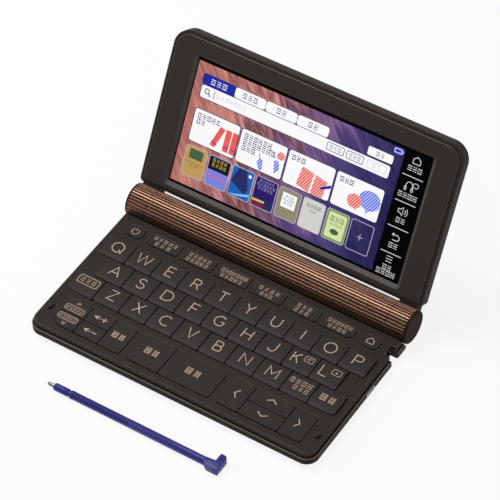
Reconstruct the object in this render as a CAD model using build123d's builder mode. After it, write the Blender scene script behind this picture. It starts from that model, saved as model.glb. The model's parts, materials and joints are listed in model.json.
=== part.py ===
from build123d import *
from math import cos, radians, sin
import os

# A clamshell electronic dictionary: a keyboard base, a ribbed hinge barrel that holds the
# batteries, and a lid with a wide display, standing open, with its stylus laid in front.
# Millimetres, +Z up. The origin is on the table, in the middle of the space that the open
# dictionary and its stylus take up. +X is to the right of a person who types, and +Y points
# from the front edge to the hinge.

# ---- overall sizes ---------------------------------------------------------------------------
case_width = 148.0
hinge_to_front = 84.5        # front edge of the base to the hinge line
barrel_radius = 8.2
open_angle = 119.0           # lid, from closed
foot_stand = 0.9             # the rubber feet lift the case off the table

# ---- base ------------------------------------------------------------------------------------
case_height = 4.3
case_wall = 2.0
case_floor = 1.4
case_corner = 6.0
case_edge = 0.8
case_tail = 5.5              # the case ends this far in front of the hinge line
deck_inset = 1.0
deck_height = 2.6
deck_thickness = 1.4
deck_skirt = 1.6
deck_edge = 0.5
rear_corner = 1.6
rear_margin = 9.7            # inner face of the rear wall, in front of the hinge line
seat_gap = 0.05              # between coaxial faces that are fixed together
run_gap = 0.3                # between the base and what turns past it
deck_gap = 0.45              # a dark line between the deck and the barrel

# ---- keys ------------------------------------------------------------------------------------
key_margin = 4.0             # side of the case to the first key
key_gap = 0.4
row_gap = 0.8
top_row_rear = 23.4          # back edge of the top letter row to the hinge line
letter_stand = 0.9           # key tops above the deck
flat_stand = 0.35            # the low keys above the deck
key_depth = 3.1
key_slope = 2.0
key_slope_drop = 0.75
key_corner = 0.4
row_end_corner = 2.0
hole_gap = 0.25
key_travel = 0.7
letter_rows = ["qwertyuiop", "asdfghjkl", "zxcvbnm"]

function_rear = 19.3         # front edge of the wide keys to the hinge line
function_depth = 6.9
function_share = 1.314       # pitch of the wide keys, in letter key pitches
function_gap = 1.9
function_shift = -0.7        # the six wide keys lie a little to the left of the middle
function_count = 6
function_end_corner = 2.6
round_key_width = 8.4
round_key_inset = 11.9       # side of the case to the middle of the key
round_key_corner = 2.4

low_front = 5.0
low_depth = 16.2
low_gap = 3.5                # between the low keys and the letter keys
low_split = 0.35
low_edges_left = [-4.643, -3.75, -2.821, -2.014]       # in letter key pitches
low_edges_middle = [-1.771, -0.557, 1.321]
low_edges_right = [1.586, 2.379, 3.814, 4.643]
low_corner = 1.6
low_cut_corner = 6.0
rocker_groove = 0.5

# ---- guide posts, mat and circuit board ------------------------------------------------------
board_stand = 0.9
board_thickness = 1.0
board_margin = 8.0           # from the case's outer side to the board
board_front = 4.0
board_gap = 2.8              # from the board to the silo
mat_thickness = 0.6
post_side = 2.4
post_gap = 0.1
rocker_gap = 0.25
post_room = 0.9              # from a post's top to the roof of its socket
strip_thickness = 0.25

# ---- stylus and its silo ---------------------------------------------------------------------
stylus_radius = 1.95
stylus_length = 86.2         # tip to the inside of the head
stylus_neck_radius = 1.5
collar_radius = 1.75
collar_length = 7.6
neck_length = 1.0
tip_radius = 0.85
tip_reach = 3.6
tip_hold = 6.0
tip_round = 0.5
head_thickness = 3.5
head_leg = 5.9
head_heel = 2.9
head_ramp = 4.5
head_corner = 1.2
head_round = 0.7
stylus_x = 38.0              # inside of the head, where the stylus is laid down
stylus_front = 20.3          # its axis in front of the base
silo_gap = 0.15
silo_spare = 1.5
silo_rear = 15.9             # silo axis to the hinge line
silo_height = 3.4
silo_bar_depth = 6.4
silo_roof = 0.5
notch_depth = 4.0
notch_width = 5.6

# ---- hinge barrel, batteries and door --------------------------------------------------------
reed_count = 32
reed_groove = 0.55
reed_groove_depth = 0.3
cell_radius = 6.8
cell_gap = 0.3
cell_length = 50.5
cell_count = 2
cell_nub_radius = 2.7
cell_nub_length = 1.2
bay_spare = 4.2
door_start = -85.0           # degrees about the hinge line, from +Y upward
door_end = -5.0
door_margin = 1.5            # the door's end short of the bay's end
door_gap = 0.15
door_edge_gap = 1.0          # degrees
lug_share = 0.57             # of the solid end of the barrel
lug_thickness = 2.0
lug_reach = 3.4
lug_root = 3.0
lug_gap = 0.2

# ---- hinge knuckles --------------------------------------------------------------------------
knuckle_gap = 0.2
sleeve_length = 9.4
sleeve_thickness = 1.3
pin_radius = 2.5
pin_share = 0.52             # of the solid end of the barrel
pin_gap = 0.06
arm_width = 5.6
arm_thickness = 2.0
arm_reach = 24.0
arm_depth = 2.2              # from the lid's face to the arm
arm_gap = 0.15
cap_thickness = 1.2
cap_inset = 0.3
cap_edge = 0.4

# ---- lid -------------------------------------------------------------------------------------
lid_gap = 0.47               # key tops to the closed lid
lid_setback = -0.37          # lid's face below the hinge line when closed
lid_thickness = 7.4
lid_side = 0.2               # the lid is this much wider than the base on each side
lid_overhang = 1.3           # past the base's front edge when closed
lid_wall = 1.5
lid_back = 1.2
lid_corner = 8.5
lid_low_corner = 2.0
lid_edge = 1.0
lid_barrel_gap = 1.0         # light shows through between the knuckles
bezel_step = 0.6             # the bezel stands above the cover's rim
bezel_gap = 0.1
bezel_thickness = 1.3
bezel_edge = 0.25
window_side = 13.8           # side of the lid to the window
window_low = 14.8            # from the hinge line
window_top = 10.0            # top of the lid to the window
window_bevel = 1.6
window_bevel_high = 1.2
window_bevel_low = 1.9
window_corner = 0.8
glass_margin = 2.5
glass_thickness = 1.1
module_thickness = 1.9
module_margin = 1.2

# ---- feet, bumpers, USB socket, microphone ---------------------------------------------------
foot_radius = 4.0
foot_inset = 14.0
foot_front = 9.0
foot_sink = 0.5
heel_inset = 18.0            # rubber heels under the barrel
heel_length = 9.0
heel_front = 5.0
heel_rear = 0.3
bumper_inset = 4.6
bumper_y = 12.4
bumper_width = 2.0
bumper_length = 3.6
bumper_sink = 0.5
bumper_clearance = 0.1
pocket_gap = 0.1
usb_centre = 48.6
usb_width = 6.0
usb_height = 1.7
usb_depth = 5.6
usb_wall = 0.3
usb_tongue_width = 4.2
usb_tongue = 0.5
usb_set_back = 0.6
usb_gap = 0.15
chip_height = 0.7
chips = [                    # middle, distance from the front edge, width, depth
    (-34.0, 30.0, 14.0, 14.0),
    (-8.0, 40.0, 10.0, 10.0),
    (22.0, 22.0, 12.0, 8.0),
    (44.0, 44.0, 8.0, 8.0),
]
slit_y = 19.7
slit_width = 0.6
slit_length = 2.0

# ---- worked out ------------------------------------------------------------------------------
opening = radians(open_angle)
lid_top = hinge_to_front + lid_overhang
lid_reach = (lid_top - lid_edge) * -cos(opening) + (lid_thickness - lid_setback) * sin(opening)
front_y = (stylus_front + head_heel - hinge_to_front - lid_reach) / 2
half_width = case_width / 2
case_bottom = foot_stand
case_top = case_bottom + case_height
floor_top = case_bottom + case_floor
deck_top = case_top + deck_height
letter_top = deck_top + letter_stand
flat_top = deck_top + flat_stand
key_bottom = letter_top - key_depth
board_bottom = floor_top + board_stand
board_top = board_bottom + board_thickness
mat_top = board_top + mat_thickness
key_pitch = (case_width - 2 * key_margin) / len(letter_rows[0])
top_row_back = hinge_to_front - top_row_rear
third_front = low_front + low_depth + low_gap
row_depth = (top_row_back - third_front + row_gap) / len(letter_rows) - row_gap
row_pitch = row_depth + row_gap
hinge_y = front_y + hinge_to_front
hinge_z = letter_top + lid_gap + lid_setback
silo_y = hinge_y - silo_rear
silo_radius = stylus_radius + silo_gap
silo_top = silo_height + silo_radius + silo_roof
strip_top = silo_top + strip_thickness
notch_floor = half_width - notch_depth
knuckle_end = half_width - cap_thickness
knuckle_start = knuckle_end - sleeve_length
barrel_half = knuckle_start - knuckle_gap
hub_radius = barrel_radius - sleeve_thickness
lid_low = barrel_radius + lid_barrel_gap
bay_radius = cell_radius + cell_gap
barrel_wall = barrel_radius - bay_radius
bay_half = (cell_count * cell_length + bay_spare) / 2
barrel_end = barrel_half - bay_half
pin_length = barrel_end * pin_share
lug_width = barrel_end * lug_share
lid_width = case_width + 2 * lid_side
window_half_width = lid_width / 2 - window_side
window_high = lid_top - window_top
hinge_line = Plane(origin=(0, hinge_y, hinge_z), x_dir=(0, 1, 0), z_dir=(1, 0, 0))
lid_hinge = Plane(origin=(0, hinge_y, hinge_z), x_dir=(1, 0, 0), z_dir=(0, -sin(opening), -cos(opening)))
lid_out = Axis(lid_hinge.origin, lid_hinge.z_dir)
lid_face = lid_hinge.offset(lid_setback)
lid_rear = lid_face.offset(-lid_thickness)
lid_room = lid_face.offset(-lid_thickness + lid_back)
glass_face = lid_face.offset(-bezel_thickness)
arm_front = lid_face.offset(-arm_depth)

os.makedirs("parts", exist_ok=True)


def save(piece, name):
    piece.part.label = name
    export_step(piece.part, "parts/" + name + ".step")


def base_outline(inset, corner, tail):
    """Plan of the base, inset from the case's sides, to be used inside a sketch."""
    depth = tail - inset
    with Locations((0, front_y + inset + depth / 2)):
        Rectangle(case_width - 2 * inset, depth)
    corners = vertices().group_by(Axis.Y)
    fillet(corners[0], corner)
    fillet(vertices().group_by(Axis.Y)[-1], rear_corner)


def span(low, high, front, back):
    """A rectangle between two X and two Y limits, to be used inside a sketch."""
    with Locations(((low + high) / 2, (front + back) / 2)):
        Rectangle(high - low, back - front)


def reeds(start, end, first, last):
    """Grooves of the ribbed barrel between two places along the hinge line."""
    step = 360 / reed_count
    places = [number * step for number in range(reed_count)]
    chosen = [place for place in places if first <= (place - first) % 360 + first <= last]
    with BuildSketch(hinge_line.offset(start)) as grooves:
        for place in chosen:
            with PolarLocations(barrel_radius, 1, start_angle=place):
                Rectangle(2 * reed_groove_depth, reed_groove)
    extrude(grooves.sketch, amount=end - start, mode=Mode.SUBTRACT)


# ---- key layout: name, left, right, front, back, top, corner radii, slope --------------------
def key_row(letters, row, left):
    back = top_row_back - row * row_pitch
    cells = []
    for number, letter in enumerate(letters):
        start = left + number * key_pitch
        cells.append((letter, start, start + key_pitch, back - row_depth, back))
    return cells


rows_left = key_margin - half_width
letter_keys = key_row(letter_rows[0], 0, rows_left)
letter_keys += key_row(letter_rows[1], 1, rows_left + key_pitch / 2)
letter_keys += key_row(letter_rows[2], 2, rows_left + key_pitch)
third_back = third_front + row_depth
space_left = rows_left + (len(letter_rows[2]) + 1) * key_pitch
delete_left = space_left + key_pitch
letter_keys.append(("shift", rows_left, rows_left + key_pitch, third_front, third_back))
letter_keys.append(("space", space_left, delete_left, third_front, third_back))
letter_keys.append(("delete", delete_left, -rows_left, third_front, third_back))

keys = []
for name, left, right, front, back in letter_keys:
    corners = {"shift": (row_end_corner, key_corner), "delete": (key_corner, row_end_corner)}
    keys.append({
        "name": "key_" + name,
        "box": (left + key_gap / 2, right - key_gap / 2, front, back),
        "top": letter_top,
        "corners": corners.get(name, (key_corner, key_corner)) + (key_corner, key_corner),
        "slope": True,
        "guide": "post",
    })

function_front = hinge_to_front - function_rear
function_back = function_front + function_depth
function_pitch = function_share * key_pitch
function_width = function_pitch - function_gap
function_first = function_shift - function_count * function_pitch / 2
round_key_offset = half_width - round_key_inset
for number in range(function_count):
    left = function_first + function_gap / 2 + number * function_pitch
    ends = [key_corner] * 4
    if number == 0:
        ends = [function_end_corner, key_corner, key_corner, function_end_corner]
    if number == function_count - 1:
        ends = [key_corner, function_end_corner, function_end_corner, key_corner]
    keys.append({
        "name": "function_key_" + str(number + 1),
        "box": (left, left + function_width, function_front, function_back),
        "top": flat_top,
        "corners": ends,
        "slope": False,
        "guide": "hole",
    })
for name, middle in (("key_power", -round_key_offset), ("key_home", round_key_offset)):
    half = round_key_width / 2
    keys.append({
        "name": name,
        "box": (middle - half, middle + half, function_front, function_back),
        "top": flat_top,
        "corners": [round_key_corner] * 4,
        "slope": False,
        "guide": "hole",
    })

low_back = low_front + low_depth
low_groups = [
    (low_edges_left, ["jump_rocker", "volume_rocker", "key_history"]),
    (low_edges_middle, ["key_back", "key_enter"]),
    (low_edges_right, ["key_left", "up_down_rocker", "key_right"]),
]
for edges_of_group, names in low_groups:
    for number, name in enumerate(names):
        left = edges_of_group[number] * key_pitch + (low_split / 2 if number else 0)
        last = number == len(names) - 1
        right = edges_of_group[number + 1] * key_pitch - (0 if last else low_split / 2)
        ends = [key_corner] * 4
        if number == 0:
            ends[0] = low_cut_corner if name == "jump_rocker" else low_corner
            ends[3] = low_corner
        if last:
            ends[1] = low_corner
            ends[2] = low_corner
        keys.append({
            "name": name,
            "box": (left, right, low_front, low_back),
            "top": flat_top,
            "corners": ends,
            "slope": False,
            "guide": "pivot" if name.endswith("rocker") else "post",
        })

# ---- the keys --------------------------------------------------------------------------------
posts = []
for key in keys:
    left, right, front, back = key["box"]
    front += front_y
    back += front_y
    top = key["top"]
    bottom = strip_top + key_travel if key["guide"] == "hole" else key_bottom
    middle = ((left + right) / 2, (front + back) / 2)
    with BuildPart() as cap:
        with BuildSketch(Plane.XY.offset(bottom)):
            span(left, right, front, back)
            places = [(left, front), (right, front), (right, back), (left, back)]
            for place, size in zip(places, key["corners"]):
                corner = vertices().sort_by_distance((*place, bottom))[0]
                if size > key_corner:
                    fillet(corner, size)
                else:
                    chamfer(corner, size)
        extrude(amount=top - bottom)
        if key["slope"]:
            with BuildSketch(Plane.YZ.offset(left)):
                with BuildLine():
                    Polyline(
                        (front, top - key_slope_drop),
                        (front + key_slope, top),
                        (front, top),
                        close=True,
                    )
                make_face()
            extrude(amount=right - left, mode=Mode.SUBTRACT)
        if key["guide"] == "pivot":
            with BuildSketch(Plane.YZ.offset(left)):
                with Locations((middle[1], top)):
                    Rectangle(rocker_groove, rocker_groove)
            extrude(amount=right - left, mode=Mode.SUBTRACT)
        if key["guide"] != "hole":
            side_gap = rocker_gap if key["guide"] == "pivot" else post_gap
            room_roof = top - post_room
            post_top = room_roof - post_room
            with BuildSketch(Plane.XY.offset(bottom)):
                with Locations(middle):
                    Rectangle(post_side + 2 * post_gap, post_side + 2 * side_gap)
            extrude(amount=room_roof - bottom, mode=Mode.SUBTRACT)
            posts.append((middle, post_top))
    save(cap, key["name"])

# ---- rubber key mat: one sheet on the board and a strip on the silo's roof -------------------
board_half = half_width - board_margin
board_back = silo_y - silo_bar_depth / 2 - board_gap
with BuildPart() as key_mat:
    with BuildSketch(Plane.XY.offset(board_top)):
        span(-board_half, board_half, front_y + board_front, board_back)
    extrude(amount=mat_thickness)
    for place, post_top in posts:
        with BuildSketch(Plane.XY.offset(mat_top)):
            with Locations(place):
                Rectangle(post_side, post_side)
        extrude(amount=post_top - mat_top)
    with BuildSketch(Plane.XY.offset(silo_top)):
        span(-board_half, board_half, silo_y - silo_bar_depth / 2, silo_y + silo_bar_depth / 2)
    extrude(amount=strip_thickness)
save(key_mat, "key_mat")

# ---- lower case ------------------------------------------------------------------------------
case_depth = hinge_to_front - case_tail
rear_wall = front_y + hinge_to_front - rear_margin
foot_places = [(side * (half_width - foot_inset), front_y + foot_front) for side in (-1, 1)]
lug_middle = (bay_half + barrel_half) / 2
usb_y = front_y + usb_centre
usb_bottom = board_bottom - usb_height


def turned_out(radius, start, end):
    """Clears a round space about the hinge line between two places along it."""
    with BuildSketch(hinge_line.offset(start)) as section:
        Circle(radius)
    extrude(section.sketch, amount=end - start, mode=Mode.SUBTRACT)


def clear_hinge(barrel_gap, knuckle_room):
    """The concave rear edge, along the fixed barrel and along the turning knuckles."""
    turned_out(barrel_radius + barrel_gap, -barrel_half, barrel_half)
    turned_out(barrel_radius + knuckle_room, -half_width, -barrel_half)
    turned_out(barrel_radius + knuckle_room, barrel_half, half_width)


def stylus_notch(front, back):
    with BuildSketch() as plan:
        span(notch_floor, half_width + notch_depth, silo_y - front, silo_y + back)
    extrude(plan.sketch, amount=letter_top, mode=Mode.SUBTRACT)


with BuildPart() as lower_case:
    with BuildSketch(Plane.XY.offset(case_bottom)):
        base_outline(0, case_corner, case_depth)
    extrude(amount=case_height)
    chamfer(lower_case.faces().sort_by(Axis.Z)[0].edges(), case_edge)
    with BuildSketch(Plane.XY.offset(floor_top)):
        with Locations((0, (front_y + case_wall + rear_wall) / 2)):
            Rectangle(case_width - 2 * case_wall, rear_wall - front_y - case_wall)
        fillet(vertices().group_by(Axis.Y)[0], case_corner - case_wall)
    extrude(amount=case_height, mode=Mode.SUBTRACT)
    # the silo: a bar across the case with the stylus's bore in it
    with BuildSketch(Plane.XY.offset(floor_top)):
        span(-board_half, notch_floor, silo_y - silo_bar_depth / 2, silo_y + silo_bar_depth / 2)
    extrude(amount=silo_top - floor_top)
    # a thick wall behind the notch for the stylus's head
    with BuildSketch(Plane.XY.offset(floor_top)):
        span(notch_floor - case_wall, half_width - case_wall, silo_y - notch_width, rear_wall)
    extrude(amount=case_top - floor_top)
    stylus_notch(notch_width / 2, notch_width / 2)
    with BuildSketch(Plane.YZ.offset(notch_floor)):
        with Locations((silo_y, silo_height)):
            Circle(silo_radius)
    extrude(amount=-(stylus_length + silo_spare), mode=Mode.SUBTRACT)
    # posts that carry the board
    board_middle = (front_y + board_front + board_back) / 2
    board_depth = board_back - front_y - board_front
    with BuildSketch(Plane.XY.offset(floor_top)):
        with Locations((0, board_middle)):
            with GridLocations(board_half, board_depth / 2, 2, 2):
                Rectangle(post_side, post_side)
    extrude(amount=board_stand)
    # pockets for the feet
    with BuildSketch(Plane.XY.offset(case_bottom)):
        with Locations(*foot_places):
            Circle(foot_radius + pocket_gap)
    extrude(amount=foot_sink, mode=Mode.SUBTRACT)
    # slots for the barrel's lugs
    with BuildSketch(Plane.XY.offset(floor_top)):
        for side in (-1, 1):
            with Locations((side * lug_middle, hinge_y - barrel_radius)):
                Rectangle(lug_width + 2 * lug_gap, 2 * rear_margin)
    extrude(amount=case_height, mode=Mode.SUBTRACT)
    # mouths of the sockets
    with BuildSketch(Plane.YZ.offset(half_width)):
        with Locations((usb_y, usb_bottom + usb_height / 2)):
            Rectangle(usb_width + 2 * usb_gap, usb_height + 2 * usb_gap)
    extrude(amount=-(usb_set_back + usb_depth + usb_wall + usb_gap), mode=Mode.SUBTRACT)
    clear_hinge(seat_gap, run_gap)
save(lower_case, "lower_case")

# ---- keyboard deck ---------------------------------------------------------------------------
deck_corner = case_corner - deck_inset
bumper_places = [(side * (half_width - bumper_inset), front_y + bumper_y) for side in (-1, 1)]
with BuildPart() as keyboard_deck:
    with BuildSketch(Plane.XY.offset(case_top)):
        base_outline(deck_inset, deck_corner, case_depth)
    extrude(amount=deck_height)
    with BuildSketch(Plane.XY.offset(case_top)):
        with Locations((0, (front_y + deck_inset + deck_skirt + rear_wall) / 2)):
            inner_depth = rear_wall - front_y - deck_inset - deck_skirt
            Rectangle(case_width - 2 * deck_inset - 2 * deck_skirt, inner_depth)
        fillet(vertices().group_by(Axis.Y)[0], deck_corner - deck_skirt)
    extrude(amount=deck_height - deck_thickness, mode=Mode.SUBTRACT)
    with BuildSketch(Plane.XY.offset(case_top)):
        span(notch_floor - deck_skirt, half_width - deck_inset, silo_y - notch_width, rear_wall)
    extrude(amount=deck_height - deck_thickness)
    with BuildSketch(Plane.XY.offset(case_top)):
        half = silo_bar_depth / 2 + pocket_gap
        span(-half_width, notch_floor, silo_y - half, silo_y + half)
    extrude(amount=strip_top + pocket_gap - case_top, mode=Mode.SUBTRACT)
    rim = keyboard_deck.faces().sort_by(Axis.Z)[-1].edges().group_by(Axis.Y)[:-1]
    chamfer([edge for group in rim for edge in group], deck_edge)
    # key openings, with the keys' own corners
    letter_half = (len(letter_rows[0]) * key_pitch - key_gap) / 2
    openings = [
        ((-letter_half, letter_half, third_front, third_back), [row_end_corner] * 2 + [0] * 2),
        ((-letter_half, letter_half, top_row_back - row_depth, top_row_back), [0] * 4),
    ]
    middle_half = (len(letter_rows[1]) * key_pitch - key_gap) / 2
    openings.append(((-middle_half, middle_half, third_front, top_row_back), [0] * 4))
    openings += [(key["box"], key["corners"]) for key in keys if key["guide"] == "hole"]
    for edges_of_group, names in low_groups:
        left, right = edges_of_group[0] * key_pitch, edges_of_group[-1] * key_pitch
        first = low_cut_corner if names[0] == "jump_rocker" else low_corner
        openings.append(((left, right, low_front, low_back), [first] + [low_corner] * 3))
    for (left, right, front, back), corners in openings:
        left, right = left - hole_gap, right + hole_gap
        front, back = front + front_y - hole_gap, back + front_y + hole_gap
        with BuildSketch(Plane.XY.offset(case_bottom)):
            span(left, right, front, back)
            places = [(left, front), (right, front), (right, back), (left, back)]
            for place, size in zip(places, corners):
                if size > key_corner:
                    fillet(vertices().sort_by_distance((*place, case_bottom))[0], size + hole_gap)
        extrude(amount=deck_top, mode=Mode.SUBTRACT)
    # pockets for the bumpers and the microphone's slit
    with BuildSketch(Plane.XY.offset(deck_top)):
        with Locations(*bumper_places):
            SlotOverall(bumper_length, bumper_width, rotation=90)
    extrude(amount=-bumper_sink, mode=Mode.SUBTRACT)
    with BuildSketch(Plane.XY.offset(deck_top)):
        with Locations((bumper_inset - half_width, front_y + slit_y)):
            SlotOverall(slit_length, slit_width, rotation=90)
    extrude(amount=-deck_thickness, mode=Mode.SUBTRACT)
    stylus_notch(notch_width / 2, notch_width / 2)
    clear_hinge(deck_gap, deck_gap)
save(keyboard_deck, "keyboard_deck")

# ---- circuit board with its chips and USB socket ---------------------------------------------
usb_mouth = half_width - usb_set_back
with BuildPart() as circuit_board:
    with BuildSketch(Plane.XY.offset(board_bottom)):
        span(-board_half, board_half, front_y + board_front, board_back)
        span(board_half, half_width - case_wall, usb_y - usb_width / 2, usb_y + usb_width / 2)
    extrude(amount=board_thickness)
    with BuildSketch(Plane.XY.offset(board_bottom)):
        for x, distance, width, depth in chips:
            with Locations((x, front_y + distance)):
                Rectangle(width, depth)
    extrude(amount=-chip_height)
    # the socket's steel shell and its tongue
    with BuildSketch(Plane.YZ.offset(usb_mouth)):
        with Locations((usb_y, board_bottom - usb_height / 2)):
            Rectangle(usb_width, usb_height)
            Rectangle(usb_width - 2 * usb_wall, usb_height - 2 * usb_wall, mode=Mode.SUBTRACT)
            Rectangle(usb_tongue_width, usb_tongue)
    extrude(amount=-usb_depth)
    with BuildSketch(Plane.YZ.offset(usb_mouth - usb_depth)):
        with Locations((usb_y, board_bottom - usb_height / 2)):
            Rectangle(usb_width, usb_height)
    extrude(amount=-usb_wall)
save(circuit_board, "circuit_board")

# ---- rubber feet, heels and bumpers ----------------------------------------------------------
with BuildPart() as rubber_pads:
    with BuildSketch():
        with Locations(*foot_places):
            Circle(foot_radius)
    extrude(amount=foot_stand + foot_sink)
    with BuildSketch():
        for side in (-1, 1):
            heel_x = side * (half_width - heel_inset)
            with Locations((heel_x, hinge_y + (heel_rear - heel_front) / 2)):
                Rectangle(heel_length, heel_front + heel_rear)
    extrude(amount=hinge_z)
    turned_out(barrel_radius, -half_width, half_width)
    with BuildSketch(Plane.XY.offset(deck_top - bumper_sink)):
        with Locations(*bumper_places):
            SlotOverall(bumper_length - 2 * seat_gap, bumper_width - 2 * seat_gap, rotation=90)
    extrude(amount=bumper_sink + letter_stand + lid_gap - bumper_clearance)
save(rubber_pads, "rubber_pads")

# ---- hinge barrel: ribbed tube with closed ends, open at the rear for the cells --------------
door_half = bay_half - door_margin
reed_angle = 360 / reed_count


def ring_sector(inner, outer, first, last):
    """Part of a ring about the hinge line, to be used inside a sketch on the hinge plane."""
    with BuildLine() as outline:
        arc = CenterArc((0, 0), outer, first, last - first)
        back_arc = CenterArc((0, 0), inner, first, last - first)
        Line(arc @ 0, back_arc @ 0)
        Line(arc @ 1, back_arc @ 1)
    make_face(outline.edges())


with BuildPart() as hinge_barrel:
    with BuildSketch(hinge_line.offset(-barrel_half)):
        Circle(barrel_radius)
    extrude(amount=2 * barrel_half)
    with BuildSketch(hinge_line.offset(-bay_half)):
        Circle(bay_radius)
    extrude(amount=2 * bay_half, mode=Mode.SUBTRACT)
    for end in (-barrel_half, barrel_half - pin_length):
        turned_out(pin_radius + pin_gap, end, end + pin_length)
    with BuildSketch(hinge_line.offset(-door_half - door_gap)):
        outside = barrel_radius + barrel_wall
        ring_sector(bay_radius - barrel_wall, outside, door_start - door_edge_gap, door_end + door_edge_gap)
    extrude(amount=2 * (door_half + door_gap), mode=Mode.SUBTRACT)
    reeds(-barrel_half, barrel_half, 0, 360)
    # lugs that hook into the lower case
    lug_back = hinge_y - barrel_radius + lug_root
    with BuildSketch(Plane.XY.offset(floor_top)):
        for side in (-1, 1):
            with Locations((side * lug_middle, lug_back - (lug_root + lug_reach) / 2)):
                Rectangle(lug_width, lug_root + lug_reach)
    extrude(amount=lug_thickness)
save(hinge_barrel, "hinge_barrel")

# ---- battery door: the missing piece of the barrel, slid off to the rear ---------------------
with BuildPart() as battery_cover:
    with BuildSketch(hinge_line.offset(-door_half)):
        ring_sector(bay_radius, barrel_radius, door_start, door_end)
    extrude(amount=2 * door_half)
    reeds(-door_half, door_half, door_start + reed_angle / 2, door_end - reed_angle / 2)
save(battery_cover, "battery_cover")

# ---- two cells, end to end -------------------------------------------------------------------
with BuildPart() as batteries:
    for number in range(cell_count):
        start = -bay_half + cell_nub_length + number * (cell_length + cell_nub_length)
        with BuildSketch(hinge_line.offset(start)):
            Circle(cell_radius)
        extrude(amount=cell_length - cell_nub_length)
        with BuildSketch(hinge_line.offset(start + cell_length - cell_nub_length)):
            Circle(cell_nub_radius)
        extrude(amount=cell_nub_length)
save(batteries, "batteries")

# ---- hinge knuckles: hub, pin and the arm that carries the lid -------------------------------
arm_middle = (knuckle_start + half_width - lid_wall) / 2
arm_sides = (-arm_middle, arm_middle)
with BuildPart() as hinge_knuckles:
    for side in (-1, 1):
        with BuildSketch(hinge_line.offset(side * knuckle_start)):
            Circle(hub_radius)
        extrude(amount=side * (knuckle_end - knuckle_start))
        with BuildSketch(hinge_line.offset(side * knuckle_start)):
            Circle(pin_radius)
        extrude(amount=-side * pin_length)
    with BuildSketch(arm_front):
        for place in arm_sides:
            with Locations((place, arm_reach / 2)):
                Rectangle(arm_width, arm_reach)
    extrude(amount=-arm_thickness)
save(hinge_knuckles, "hinge_knuckles")

# ---- ribbed sleeves over the hubs, and the end caps ------------------------------------------
sleeve_radius = hub_radius + seat_gap
with BuildPart() as hinge_sleeves:
    for start in (-knuckle_end, knuckle_start):
        length = knuckle_end - knuckle_start
        with BuildSketch(hinge_line.offset(start)):
            Circle(barrel_radius)
            Circle(sleeve_radius, mode=Mode.SUBTRACT)
        extrude(amount=length)
        reeds(start, start + length, 0, 360)
    with BuildSketch(arm_front.offset(arm_gap)):
        for place in arm_sides:
            with Locations((place, barrel_radius)):
                Rectangle(arm_width + 2 * arm_gap, 2 * (barrel_radius - pin_radius))
    extrude(amount=-(arm_thickness + 2 * arm_gap), mode=Mode.SUBTRACT)
    for side in (-1, 1):
        with BuildSketch(hinge_line.offset(side * knuckle_end)):
            Circle(barrel_radius - cap_inset)
        extrude(amount=side * cap_thickness)
    rims = hinge_sleeves.edges().filter_by(GeomType.CIRCLE).group_by(Axis.X)
    chamfer(rims[0] + rims[-1], cap_edge)
save(hinge_sleeves, "hinge_sleeves")


def lid_outline(inset, top_corner, low_corner):
    """Plan of the lid in its own plane, hinge line at zero, to be used inside a sketch."""
    half = lid_width / 2 - inset
    with Locations((0, (lid_low + lid_top) / 2)):
        Rectangle(2 * half, lid_top - lid_low - 2 * inset)
    fillet(vertices().group_by(Axis.Y)[0], low_corner)
    fillet(vertices().group_by(Axis.Y)[-1], top_corner)


def lid_span(half, low, high):
    """A rectangle on the lid, even about its middle, to be used inside a sketch."""
    with Locations((0, (low + high) / 2)):
        Rectangle(2 * half, high - low)


# ---- lid cover -------------------------------------------------------------------------------
rim_height = lid_thickness - bezel_step
room_height = lid_thickness - lid_back - bezel_step
with BuildPart() as lid_cover:
    with BuildSketch(lid_rear):
        lid_outline(0, lid_corner, lid_low_corner)
    extrude(amount=rim_height)
    chamfer(lid_cover.faces().sort_by(lid_out)[0].edges(), lid_edge)
    # ears that reach down to the knuckles
    ear_inner = knuckle_start
    ear_outer = lid_width / 2 - lid_low_corner
    with BuildSketch(lid_rear.offset(lid_edge / 2)):
        for side in (-1, 1):
            with Locations((side * (ear_inner + ear_outer) / 2, lid_low)):
                Rectangle(ear_outer - ear_inner, barrel_radius)
    extrude(amount=rim_height - lid_edge / 2)
    turned_out(barrel_radius + seat_gap, -half_width, half_width)
    with BuildSketch(lid_room):
        lid_outline(lid_wall, lid_corner - lid_wall, lid_low_corner - lid_wall / 2)
    extrude(amount=room_height, mode=Mode.SUBTRACT)
    # slots for the arms, and the pads they are fixed to
    with BuildSketch(arm_front.offset(arm_gap)):
        for place in arm_sides:
            with Locations((place, lid_low)):
                Rectangle(arm_width + 2 * arm_gap, 2 * barrel_radius)
    extrude(amount=-(arm_thickness + 2 * arm_gap), mode=Mode.SUBTRACT)
    with BuildSketch(lid_room):
        for place in arm_sides:
            with Locations((place, arm_reach - arm_width / 2)):
                Rectangle(arm_width, arm_width)
    extrude(amount=lid_thickness - lid_back - arm_depth - arm_thickness)
save(lid_cover, "lid_cover")

# ---- lid bezel -------------------------------------------------------------------------------
bezel_inset = lid_wall + bezel_gap
bezel_corner = lid_corner - bezel_inset
with BuildPart() as lid_bezel:
    with BuildSketch(glass_face):
        lid_outline(bezel_inset, bezel_corner, lid_low_corner - lid_wall / 2)
    extrude(amount=bezel_thickness)
    chamfer(lid_bezel.faces().sort_by(lid_out)[-1].edges(), bezel_edge)
    with BuildSketch(glass_face):
        lid_span(window_half_width, window_low, window_high)
        fillet(vertices(), window_corner)
    with BuildSketch(lid_face):
        bevel_low = window_low - window_bevel_low
        lid_span(window_half_width + window_bevel, bevel_low, window_high + window_bevel_high)
        fillet(vertices(), window_corner + window_bevel_high)
    loft(mode=Mode.SUBTRACT)
save(lid_bezel, "lid_bezel")

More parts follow.
